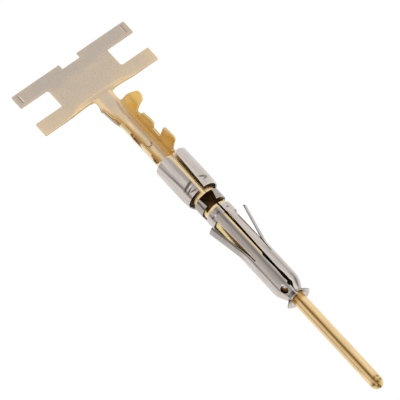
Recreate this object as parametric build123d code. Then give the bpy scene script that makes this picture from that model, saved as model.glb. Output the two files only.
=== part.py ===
"""Crimp pin contact: a stamped, formed and gold plated contact with its carrier tab,
and the rolled stainless steel retention sleeve that is sprung round its body.

Units are millimetres. +X runs along the contact from the carrier tab to the pin's tip,
+Y runs along the tab's arms and +Z points the way the crimp wings open.
The origin is on the pin's axis, in the plane of the sleeve's front lip.
Angles round the axis are in degrees, from +Z towards +Y.
"""
from build123d import *
from math import cos, degrees, radians, sin
import os

# Sheet stock and the gap between the two pieces
stock = 0.20
sleeve_stock = 0.12
running_gap = 0.04

# Pin
pin_diameter = 1.02
pin_reach = 9.05
pin_cover = 0.70
pin_seam_width = 0.07
pin_seam_angle = -18.0
pin_root_swell = 0.02
nose_length = 0.56
nose_end_diameter = 0.24
nose_notch_width = 0.10
nose_notch_depth = 0.07
nose_notch_from_tip = 0.36

# Rolled body tube
tube_diameter = 1.86
shoulder_length = 0.80
tube_seam_near_side = 0.03
tube_seam_rear_width = 0.34
tube_seam_front_width = 0.09
window_half_angle = 62.0
window_rear_margin = 0.08
window_front_show = 0.26
throat_length = 1.15
throat_steps = 5

# Crimp barrel
floor_drop = 0.37
barrel_radius = 0.75
barrel_half_angle = 76.0
low_wall_leg = 0.43
wire_gap = 0.20
wire_length = 1.44
wire_leg = 1.60
middle_gap = 0.85
middle_length = 1.44
middle_leg = 0.93
middle_stagger = 0.35
insulation_gap = 0.56
insulation_length = 1.40
insulation_leg = 1.93
insulation_half_angle = 62.0
insulation_rear_rise = 0.94
insulation_rear_slope = 0.56
wing_lean = 0.07
wing_corner = 0.12
flare_run = 0.35
barrel_tail = 0.12
scoop_length = 0.78
scoop_start_radius = 6.0
scoop_start_half_angle = 4.0

# Neck and carrier tab
neck_width = 1.69
neck_length = 0.81
tab_length = 4.26
tab_width = 10.72
tab_core_width = 5.64
front_bar_length = 1.26
rear_bar_length = 1.21
rear_notch_width = 1.71
rear_notch_depth = 0.46
tab_drop = 0.34
tab_ramp_run = 0.44
tab_ramp_width = 6.10
inner_corner = 0.18
outer_corner = 0.08
neck_corner = 0.30
arm_nick_from_end = 0.42
arm_nick_width = 0.09
arm_nick_depth = 0.05
arm_nick_margin = 0.15

# Retention sleeve
lip_flare = 0.38
lip_length = 0.46
waist_gap = 0.05
taper_length = 0.82
sleeve_tube_length = 7.86
sleeve_slot_width = 0.30
front_slit_width = 0.52
band_length = 0.84
band_open_rear = (-0.77, 0.53)
band_open_front = (-0.59, 0.25)
rear_slit_width = 0.42
slit_half_angle = 118.0
skirt_step = 0.31
skirt_length = 3.68
skirt_slot_front_width = 0.24
skirt_slot_rear_width = 0.98
skirt_rear_corner = 0.34
skirt_cover = 0.50
lance_angle = 67.0
lance_half_angle = 15.0
lance_slit = 0.10
lance_root_from_shoulder = 3.67
lance_rear_margin = 1.01
lance_splay = 13.3
lance_slit_past_root = 0.95
dent_length = 0.14
dent_depth = 0.05
dent_half_angle = 17.0
dent_angle = 40.0
tube_dent_from_slit = 0.42
skirt_dent_from_slit = 0.78
keyhole_from_waist = 0.55
keyhole_diameter = 0.44
keyhole_angle = 4.0
pocket_angle = -31.0
pocket_length = 0.60
pocket_width = 0.52

# Small overlap that makes joined stretches one solid, and a size that clears the whole section
overlap = 0.02
far = 12.0

# Radii that follow
pin_radius = pin_diameter / 2
tube_radius = tube_diameter / 2
tube_mid = tube_radius - stock / 2
floor_z = -tube_radius - floor_drop
floor_mid_z = floor_z + stock / 2
tab_z = floor_z - tab_drop
sleeve_bore = tube_radius + running_gap
sleeve_radius = sleeve_bore + sleeve_stock
sleeve_mid = sleeve_bore + sleeve_stock / 2
waist_radius = pin_radius + waist_gap + sleeve_stock
lip_radius = waist_radius + lip_flare
skirt_radius = sleeve_radius + skirt_step

# Stations along the sleeve, from its lip towards the tab
waist_x = -lip_length
sleeve_shoulder_x = waist_x - taper_length
sleeve_tube_rear_x = sleeve_shoulder_x - sleeve_tube_length
band_front_x = sleeve_tube_rear_x - front_slit_width
band_rear_x = band_front_x - band_length
skirt_front_x = band_rear_x - rear_slit_width
skirt_rear_x = skirt_front_x - skirt_length
lance_root_x = sleeve_shoulder_x - lance_root_from_shoulder
lance_length = sleeve_tube_length - lance_root_from_shoulder - lance_rear_margin
keyhole_x = waist_x - keyhole_from_waist

# Stations along the contact, from its pin towards the tab
pin_root_x = -pin_cover
tube_front_x = pin_root_x - shoulder_length
window_front_x = sleeve_tube_rear_x - window_front_show
window_rear_x = band_rear_x - window_rear_margin
tube_rear_x = skirt_rear_x + skirt_cover
barrel_front_x = tube_rear_x - throat_length
wire_front_x = barrel_front_x - wire_gap
middle_front_x = wire_front_x - wire_length - middle_gap
insulation_front_x = middle_front_x - middle_length - insulation_gap
trough_rear_x = insulation_front_x - insulation_length - barrel_tail
neck_front_x = trough_rear_x - scoop_length
tab_front_x = neck_front_x - neck_length
tab_bend_x = tab_front_x - tab_ramp_run
tab_rear_x = tab_front_x - tab_length


def in_section(x):
    """Sketch plane across the contact at x, with its own X along +Y and its own Y along +Z."""
    return Plane(origin=(x, 0, 0), x_dir=(0, 1, 0), z_dir=(1, 0, 0))


def wedge(x_from, x_to, angle_from, angle_to, radius=far):
    """Slice of a round bar between two angles round the axis."""
    start = 90 - angle_to
    turn = angle_to - angle_from
    with BuildSketch(in_section(x_from)) as slice_face:
        with BuildLine():
            arc = CenterArc((0, 0), radius, start, turn)
            Line((0, 0), arc @ 0)
            Line(arc @ 1, (0, 0))
        make_face()
    return extrude(slice_face.sketch, amount=x_to - x_from)


def slot_cutter(x_from, x_to, sides_from, sides_to, angle=0):
    """Cutter through one side of a tube, between two straight sides, at an angle round the axis."""
    with BuildSketch(Plane.XY) as plan:
        Polygon((x_from, sides_from[0]), (x_to, sides_to[0]), (x_to, sides_to[1]), (x_from, sides_from[1]),
                align=None)
    return Rot(-angle, 0, 0) * extrude(plan.sketch, amount=far)


def centred(width):
    """Both sides of a slot of this width about its middle line."""
    return -width / 2, width / 2


def trough_face(x, radius, half_angle, leg, bottom_z):
    """Section of a bent strip: a round floor with a straight leg at each side."""
    centre_z = bottom_z + radius
    inner = radius - stock / 2
    outer = radius + stock / 2
    lean = radians(half_angle)
    reach = Vector(cos(lean), sin(lean)) * leg

    def rim(size, side):
        return Vector(side * size * sin(lean), centre_z - size * cos(lean))

    with BuildSketch(in_section(x)) as section:
        with BuildLine():
            corners = []
            for size in (outer, inner):
                CenterArc((0, centre_z), size, 270 - half_angle, 2 * half_angle)
                for side in (-1, 1):
                    foot = rim(size, side)
                    top = foot + Vector(side * reach.X, reach.Y)
                    Line(foot, top)
                    corners.append(top)
            Line(corners[0], corners[2])
            Line(corners[1], corners[3])
        make_face()
    return section.sketch


def side_prism(points, side):
    """Prism over a side view outline, on one side of the middle plane."""
    with BuildSketch(Plane.XZ) as outline:
        Polygon(*points, align=None)
    return extrude(outline.sketch, amount=-side * far)


def wing(front_x, length, leg, half_angle, rear_rise, rear_slope, side):
    """Crimp wing: a leaning leg of the barrel, cut to its outline in side view."""
    rear_x = front_x - length
    full = extrude(trough_face(rear_x, barrel_radius, half_angle, leg, floor_mid_z), amount=length)
    foot_z = floor_mid_z + barrel_radius * (1 - cos(radians(half_angle)))

    def height(up_the_leg):
        return foot_z + up_the_leg * sin(radians(half_angle))

    tip_front_x = front_x - wing_lean
    tip = [(rear_x + rear_slope, height(leg)), (rear_x + rear_slope, height(leg) + stock),
           (tip_front_x - wing_corner, height(leg) + stock), (tip_front_x - wing_corner, height(leg))]
    outline = [(rear_x, foot_z + overlap), (rear_x, height(rear_rise)), *tip,
               (tip_front_x, height(leg - wing_corner)), (front_x, foot_z + overlap)]
    return full & side_prism(outline, side)


def wing_pair(front_x, length, leg, half_angle, rear_rise, rear_slope, stagger=0.0):
    """Two facing wings; the one on the -Y side may stand a little nearer the tab."""
    straight = wing(front_x, length, leg, half_angle, rear_rise, rear_slope, 1)
    return straight + wing(front_x - stagger, length, leg, half_angle, rear_rise, rear_slope, -1)


def half_angle_of(width, radius):
    """Half of the angle that a width takes up on a circle."""
    return degrees(width / 2 / radius)


def barrel_channel():
    """Low walled channel from the neck to the mouth of the rolled tube."""
    strip_leg = neck_width / 2 - scoop_start_radius * sin(radians(scoop_start_half_angle))
    flat_face = trough_face(neck_front_x, scoop_start_radius, scoop_start_half_angle, strip_leg,
                            floor_mid_z)
    rising_x = (neck_front_x + trough_rear_x) / 2
    rising = trough_face(rising_x, 2 * barrel_radius, insulation_half_angle / 2, low_wall_leg / 2,
                         floor_mid_z)
    open_face = trough_face(trough_rear_x, barrel_radius, insulation_half_angle, low_wall_leg, floor_mid_z)
    scoop = loft([flat_face, rising, open_face], ruled=True)
    open_run = extrude(open_face, amount=insulation_front_x - trough_rear_x)
    steep_x = insulation_front_x + flare_run
    turn_face = trough_face(insulation_front_x, barrel_radius, insulation_half_angle, low_wall_leg,
                            floor_mid_z)
    steep_face = trough_face(steep_x, barrel_radius, barrel_half_angle, low_wall_leg, floor_mid_z)
    turn = loft([turn_face, steep_face], ruled=True)
    steep_run = extrude(steep_face, amount=barrel_front_x - steep_x)
    return scoop + open_run + turn + steep_run


def closing_throat():
    """Stretch where the open channel rolls up into the body tube."""
    closed_half_angle = 180 - half_angle_of(tube_seam_rear_width, tube_mid)
    faces = []
    for step in range(throat_steps + 1):
        share = step / throat_steps
        x = barrel_front_x + share * (tube_rear_x - barrel_front_x)
        radius = barrel_radius + share * (tube_mid - barrel_radius)
        half_angle = barrel_half_angle + share * (closed_half_angle - barrel_half_angle)
        leg = low_wall_leg + share * (overlap - low_wall_leg)
        bottom = floor_mid_z + share * (-tube_mid - floor_mid_z)
        faces.append(trough_face(x, radius, half_angle, leg, bottom))
    return loft(faces, ruled=True)


def rolled_front():
    """Body tube, shoulder and hollow pin as one turned shape, before its seams are cut."""
    straight_end = pin_reach - nose_length
    bore = pin_radius - stock
    nose_end = nose_end_diameter / 2
    with BuildSketch(Plane.XZ) as half:
        with BuildLine():
            Polyline((tube_rear_x, tube_radius), (tube_front_x, tube_radius),
                     (pin_root_x, pin_radius + pin_root_swell), (0, pin_radius), (straight_end, pin_radius))
            TangentArc((straight_end, pin_radius), (pin_reach, nose_end), tangent=(1, 0))
            Polyline((pin_reach, nose_end), (pin_reach, 0), (straight_end, 0), (straight_end, bore),
                     (pin_root_x, bore), (tube_front_x, tube_radius - stock),
                     (tube_rear_x, tube_radius - stock), (tube_rear_x, tube_radius))
        make_face()
    return revolve(half.sketch, Axis.X)


def rolled_front_with_seams():
    """Turned front with the tube's seam and window, and the pin's seam and nose notch."""
    near = tube_seam_near_side
    narrow = (near, near + tube_seam_front_width)
    rear_seam = slot_cutter(tube_rear_x, window_rear_x, (near, near + tube_seam_rear_width), narrow)
    front_seam = slot_cutter(window_rear_x, pin_root_x, narrow, narrow)
    window = wedge(window_rear_x, window_front_x, -window_half_angle, window_half_angle)
    pin_seam = slot_cutter(pin_root_x, pin_reach - nose_notch_from_tip / 2, centred(pin_seam_width),
                           centred(pin_seam_width), pin_seam_angle)
    notch_x = pin_reach - nose_notch_from_tip
    notch = Pos(notch_x, 0, pin_radius) * Box(nose_notch_width, pin_diameter, 2 * nose_notch_depth)
    return rolled_front() - rear_seam - front_seam - window - pin_seam - Rot(-pin_seam_angle, 0, 0) * notch


def tab_outline():
    """Plan of the carrier tab: a core with two pairs of arms and a shallow notch behind."""
    core = Pos(tab_front_x - tab_length / 2, 0) * Rectangle(tab_length, tab_core_width)
    front_bar = Pos(tab_front_x - front_bar_length / 2, 0) * Rectangle(front_bar_length, tab_width)
    rear_bar = Pos(tab_rear_x + rear_bar_length / 2, 0) * Rectangle(rear_bar_length, tab_width)
    neck = Pos(tab_front_x + neck_length / 2, 0) * Rectangle(neck_length + 2 * overlap, neck_width)
    rear_notch = Pos(tab_rear_x, 0) * Rectangle(2 * rear_notch_depth, rear_notch_width)
    return core + front_bar + rear_bar + neck - rear_notch


def rounded_tab_outline():
    """Tab plan with its punched corners rounded."""
    plan = tab_outline()

    def corners_at(width):
        return plan.vertices().filter_by(lambda v: abs(abs(v.Y) - width / 2) < overlap)

    plan = fillet(corners_at(tab_core_width), inner_corner)
    root = corners_at(neck_width).filter_by(lambda v: abs(v.X - tab_front_x) < overlap)
    plan = fillet(root, neck_corner)
    return fillet(corners_at(tab_width), outer_corner)


def plate(x_from, x_to, width, underside_z):
    """Flat stretch of the sheet."""
    corner = (Align.MIN, Align.CENTER, Align.MIN)
    return Pos(x_from, 0, underside_z) * Box(x_to - x_from, width, stock, align=corner)


def ramp_section(y, rise):
    """Side view of the ramp at one y, from the tab's bend line to its front edge."""
    underside = [(tab_bend_x, tab_z), (tab_front_x, tab_z + rise)]
    top = [(x, z + stock) for x, z in reversed(underside)]
    with BuildSketch(Plane(origin=(0, y, 0), x_dir=(1, 0, 0), z_dir=(0, -1, 0))) as side:
        Polygon(*underside, *top, align=None)
    return side.sketch


def formed_sheet():
    """Sheet that is flat at the arms and ramps up to the neck's level in the middle."""
    outer_y = tab_ramp_width / 2
    inner_y = neck_width / 2 + neck_corner
    flat = plate(tab_rear_x - overlap, tab_front_x, tab_width + overlap, tab_z)
    gap = plate(tab_bend_x, tab_front_x, tab_ramp_width, tab_z)
    stations = [(-outer_y, 0), (-inner_y, tab_drop), (inner_y, tab_drop), (outer_y, 0)]
    ramp = loft([ramp_section(y, rise) for y, rise in stations], ruled=True)
    neck = plate(tab_front_x, neck_front_x + overlap, 2 * inner_y, floor_z)
    return flat - gap + ramp + neck


def arm_nicks():
    """Shallow coined lines across the ends of the rear arms."""
    length = rear_bar_length - 2 * arm_nick_margin
    nick = Box(length, arm_nick_width, 2 * arm_nick_depth)
    top_z = tab_z + stock
    centre_x = tab_rear_x + rear_bar_length / 2
    nicks = []
    for side in (-1, 1):
        nicks.append(Pos(centre_x, side * (tab_width / 2 - arm_nick_from_end), top_z) * nick)
    return nicks


def carrier_tab():
    """Carrier tab and neck as one stepped plate."""
    blank = extrude(rounded_tab_outline(), amount=far, both=True)
    return (blank & formed_sheet()) - arm_nicks()


def crimp_wings():
    """Insulation wings, then the middle and front wire wings."""
    insulation = wing_pair(insulation_front_x, insulation_length, insulation_leg, insulation_half_angle,
                           insulation_rear_rise, insulation_rear_slope)
    middle = wing_pair(middle_front_x, middle_length, middle_leg, barrel_half_angle,
                       middle_leg - wing_corner, wing_corner, middle_stagger)
    wire = wing_pair(wire_front_x, wire_length, wire_leg, barrel_half_angle,
                     wire_leg - wing_corner, wing_corner)
    return insulation + middle + wire


def contact_body():
    """The gold plated contact with its tab: one folded and rolled piece of sheet."""
    return carrier_tab() + barrel_channel() + crimp_wings() + closing_throat() + rolled_front_with_seams()


def sleeve_shell():
    """Turned form of the sleeve: skirt, joggle, tube, taper and trumpet lip."""
    half = sleeve_stock / 2
    with BuildSketch(Plane.XZ) as wall:
        with BuildLine():
            FilletPolyline((skirt_rear_x, skirt_radius - half), (skirt_front_x, skirt_radius - half),
                           (band_rear_x, sleeve_mid), (sleeve_shoulder_x, sleeve_mid),
                           (waist_x, waist_radius - half), (0, lip_radius - half), radius=sleeve_stock)
        trace(line_width=sleeve_stock)
    return revolve(wall.sketch, Axis.X)


def band_and_slits():
    """Cuts that free the middle band: two slits round the top and the window in the band."""
    front_slit = wedge(band_front_x, sleeve_tube_rear_x, -slit_half_angle, slit_half_angle)
    rear_slit = wedge(skirt_front_x, band_rear_x, -slit_half_angle, slit_half_angle)
    band_window = slot_cutter(band_rear_x - overlap, band_front_x + overlap, band_open_rear,
                              band_open_front)
    return [front_slit, rear_slit, band_window]


def lance(side):
    """Locking lance: a strip of the tube's wall that runs outward from its root."""
    middle = radians(side * lance_angle)
    splay = radians(lance_splay)
    start = 90 - side * lance_angle - lance_half_angle
    with BuildSketch(in_section(lance_root_x)) as root:
        with BuildLine():
            outer = CenterArc((0, 0), sleeve_radius, start, 2 * lance_half_angle)
            inner = CenterArc((0, 0), sleeve_bore, start, 2 * lance_half_angle)
            Line(outer @ 0, inner @ 0)
            Line(outer @ 1, inner @ 1)
        make_face()
    outward = (-cos(splay), sin(splay) * sin(middle), sin(splay) * cos(middle))
    return extrude(root.sketch, amount=lance_length, dir=outward)


def lance_window(side):
    """Opening left in the tube round a lance, with a slit past each side of its root."""
    middle = side * lance_angle
    reach = lance_half_angle + half_angle_of(2 * lance_slit, sleeve_radius)
    whole = wedge(lance_root_x - lance_length - 2 * lance_slit, lance_root_x + lance_slit_past_root,
                  middle - reach, middle + reach)
    root = wedge(lance_root_x, lance_root_x + lance_slit_past_root, middle - lance_half_angle,
                 middle + lance_half_angle)
    return whole - root


def dent(x, radius, angle):
    """Short crease pressed across the wall at an angle round the axis."""
    ring = wedge(x - dent_length / 2, x + dent_length / 2, angle - dent_half_angle, angle + dent_half_angle)
    return ring - Pos(x, 0, 0) * Rot(0, 90, 0) * Cylinder(radius - dent_depth, far)


def front_openings():
    """Keyhole at the front of the slot and the pocket beside it."""
    keyhole = extrude(Pos(keyhole_x, 0) * Circle(keyhole_diameter / 2), amount=far)
    pocket = extrude(Pos(keyhole_x, 0) * Ellipse(pocket_length / 2, pocket_width / 2), amount=far)
    return [Rot(-keyhole_angle, 0, 0) * keyhole, Rot(-pocket_angle, 0, 0) * pocket]


def skirt_slot():
    """Cutter for the skirt's tapered slot, with a mouth that rounds the skirt's rear corners."""
    rear_half = skirt_slot_rear_width / 2
    front_half = skirt_slot_front_width / 2
    front_x = skirt_front_x + overlap
    slot = Polygon((skirt_rear_x - overlap, -rear_half), (front_x, -front_half), (front_x, front_half),
                   (skirt_rear_x - overlap, rear_half), align=None)
    mouth_width = skirt_slot_rear_width + 2 * (skirt_rear_corner + overlap)
    mouth = Pos(skirt_rear_x - skirt_rear_corner, 0) * Rectangle(2 * skirt_rear_corner, mouth_width)
    plan = slot + mouth
    inside = plan.vertices().filter_by(lambda v: abs(v.Y) < rear_half + overlap)
    corners = inside.filter_by(lambda v: abs(v.X - skirt_rear_x) < overlap)
    return extrude(fillet(corners, skirt_rear_corner), amount=far)


def retention_sleeve():
    """The stainless steel sleeve: one stamped sheet rolled round the contact's body."""
    shell = sleeve_shell()
    slot = slot_cutter(sleeve_tube_rear_x - overlap, sleeve_stock, centred(sleeve_slot_width),
                       centred(sleeve_slot_width))
    shell = shell - slot - skirt_slot() - band_and_slits() - front_openings()
    for side in (-1, 1):
        shell = shell - lance_window(side)
        shell = shell + lance(side)
        shell = shell - dent(sleeve_tube_rear_x + tube_dent_from_slit, sleeve_radius, side * dent_angle)
        shell = shell - dent(skirt_front_x - skirt_dent_from_slit, skirt_radius, side * dent_angle)
    return shell


os.makedirs("parts", exist_ok=True)
export_step(contact_body(), "parts/contact_body.step")
export_step(retention_sleeve(), "parts/retention_sleeve.step")
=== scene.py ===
"""Looks of the crimp pin contact: a stamped and rolled gold plated contact, still on its carrier
tab, with a rolled stainless steel retention sleeve sprung round its body.

Lengths are millimetres in the code and metres in the meshes. +X runs from the tab to the pin's
tip, +Y along the tab's arms, +Z is the side that the crimp wings open to. The origin is on the
pin's axis in the plane of the sleeve's lip. Angles round the axis run from +Z towards +Y.
"""

import logging
import math
from collections.abc import Sequence
from dataclasses import dataclass, field
from enum import Enum
from functools import partial

import bmesh
import bpy
import numpy as np
from mathutils import Matrix, Vector


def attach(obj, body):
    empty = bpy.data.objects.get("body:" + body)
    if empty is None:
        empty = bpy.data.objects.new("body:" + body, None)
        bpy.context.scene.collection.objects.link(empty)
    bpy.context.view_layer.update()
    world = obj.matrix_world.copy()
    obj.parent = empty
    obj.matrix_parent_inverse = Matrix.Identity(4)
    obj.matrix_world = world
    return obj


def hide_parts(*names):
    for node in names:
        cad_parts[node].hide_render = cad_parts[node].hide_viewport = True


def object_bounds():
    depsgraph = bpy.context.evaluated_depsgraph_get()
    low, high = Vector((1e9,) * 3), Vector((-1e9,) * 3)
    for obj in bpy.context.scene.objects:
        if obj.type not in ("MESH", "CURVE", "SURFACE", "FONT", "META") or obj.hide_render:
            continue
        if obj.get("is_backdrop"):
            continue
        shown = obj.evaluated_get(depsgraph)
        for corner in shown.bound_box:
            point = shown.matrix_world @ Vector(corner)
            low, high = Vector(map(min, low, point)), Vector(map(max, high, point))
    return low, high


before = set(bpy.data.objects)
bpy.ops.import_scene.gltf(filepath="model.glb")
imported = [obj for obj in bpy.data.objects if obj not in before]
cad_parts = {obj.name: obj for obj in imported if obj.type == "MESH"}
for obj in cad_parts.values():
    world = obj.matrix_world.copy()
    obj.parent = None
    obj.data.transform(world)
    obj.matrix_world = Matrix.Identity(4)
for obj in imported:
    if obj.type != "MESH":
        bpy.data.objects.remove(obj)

log = logging.getLogger("crimp_pin_contact")
Array = np.ndarray
Span = tuple[float, float]
Table = tuple[Span, ...]
MM = 0.001
FLOOR_GAP = 0.02
ROUND_OFF = 1e-9
ON_LINE = 1e-6
EASE_SAMPLES = 9


class Slot(Enum):
    """Material slots of the record."""

    GOLD = "gold_plate"
    STEEL = "stainless"


def linear(code: str) -> tuple[float, float, float, float]:
    """Turn an sRGB hex colour into the linear colour that the nodes take.

    Args:
        code: six hex digits after a hash sign.

    Returns:
        Linear red, green and blue, and an alpha of 1.
    """
    part = [int(code[i:i + 2], 16) / 255 for i in (1, 3, 5)]
    red, green, blue = (c / 12.92 if c <= 0.04045 else ((c + 0.055) / 1.055) ** 2.4 for c in part)
    return red, green, blue, 1.0


def lines_through(stations: Sequence[float], step: float) -> Array:
    """Place grid lines through every station, with even gaps of at most a step between them.

    Args:
        stations: places that a line has to pass through.
        step: widest gap between two lines.

    Returns:
        Rising places of the lines.
    """
    marks = np.unique(np.round(stations, 6))
    parts = [np.linspace(a, b, math.ceil((b - a) / step) + 1)[:-1] for a, b in zip(marks, marks[1:])]
    return np.append(np.concatenate(parts), marks[-1])


def eased_line(x: Array, table: Sequence[Span], ease: float) -> Array:
    """Read a line of straight runs with eased corners.

    Formula: the mean of the straight runs over a window of half width ease about each x.

    Args:
        x: places to read.
        table: pairs of place and value, with rising places.
        ease: half width of the window.

    Returns:
        Values at x.
    """
    places, values = np.array(table, float).T
    window = np.linspace(-ease, ease, EASE_SAMPLES)
    return np.interp(np.asarray(x, float)[..., None] + window, places, values).mean(-1)


def broken_line(x: Array, table: Table) -> Array:
    """Read a line of straight runs, given as pairs of place and value."""
    return np.interp(x, *np.array(table, float).T)


def soft_ramp(distance: Array, width: float) -> Array:
    """Grow from 0 to the distance itself: width times log(1 + exp(distance / width))."""
    return width * np.logaddexp(0, np.asarray(distance, float) / width)


def smooth_share(x: Array, low: float | Array, high: float | Array) -> Array:
    """Rise from 0 at low to 1 at high along 3t^2 - 2t^3."""
    t = np.clip((np.asarray(x, float) - low) / (high - low), 0, 1)
    return t * t * (3 - 2 * t)


def plateau(x: Array, rise: Sequence[float], fall: Sequence[float]) -> Array:
    """Rise from 0 to 1 over the first range of x and fall back to 0 over the second."""
    return smooth_share(x, *rise) * (1 - smooth_share(x, *fall))


def bump(x: Array, middle: float, half_width: float) -> Array:
    """Bell of height 1: exp(-((x - middle) / half_width)^2)."""
    return np.exp(-((np.asarray(x, float) - middle) / half_width) ** 2)


@dataclass(frozen=True)
class Mark:
    """Bell shaped spot on a rolled wall.

    Args:
        height: value at its middle.
        place, half_width: its middle and half width along X.
        angle, spread: its middle and half width round the axis, in degrees.
        lean: how far it moves back in X for each degree.
    """

    height: float
    place: float
    half_width: float
    angle: float
    spread: float
    lean: float = 0.0

    def on(self, x: Array, angle: Array) -> Array:
        """Value of the spot at these places: one bell along X times one bell round the axis."""
        along = bump(x + self.lean * (angle - self.angle), self.place, self.half_width)
        return self.height * along * bump(angle, self.angle, self.spread)


def in_square(local: Array) -> Array:
    """True where both local coordinates lie between 0 and 1."""
    return ((local > -ROUND_OFF) & (local < 1 + ROUND_OFF)).all(-1)


def unit(vectors: Array) -> Array:
    """Scale each row vector to length 1, and leave a vector without length at zero."""
    length = np.linalg.norm(vectors, axis=-1, keepdims=True)
    return np.divide(vectors, length, out=np.zeros_like(vectors), where=length > 1e-12)


def faces(upper: Array, lower: Array | None = None) -> Array:
    """Stack a value for the upper and one for the lower face, which is 0 if it isn't given."""
    return np.stack([upper, np.zeros_like(upper) if lower is None else lower], -1)


@dataclass
class SheetGrid:
    """A formed sheet: the middle of its wall on a grid of columns along X and rows across.

    Args:
        points: columns by rows by 3, the middle of the wall.
        keep: one flag per cell, false where the sheet is cut away.
        relief: columns by rows by 2, how far the upper and the lower face stand out.
        tint: columns by rows by 2, plating thickness with painted highlights on each face, from 0 to 1.
        shade: columns by rows by 2, how dark each face is, from 0 to 1: painted shade and dark marks.
    """

    points: Array
    keep: Array
    relief: Array
    tint: Array
    shade: Array

    @staticmethod
    def chain(grids: Sequence["SheetGrid"]) -> "SheetGrid":
        """Join grids end to end; the column that two of them share is the earlier one's.

        Args:
            grids: stretches of one sheet with the same number of rows.

        Returns:
            One grid over the whole sheet.
        """
        def joined(name: str) -> Array:
            """Chain one array of the grids."""
            first, *rest = [getattr(grid, name) for grid in grids]
            return np.concatenate([first] + [part[1:] for part in rest])

        keep = np.concatenate([grid.keep for grid in grids])
        return SheetGrid(joined("points"), keep, joined("relief"), joined("tint"), joined("shade"))


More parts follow.
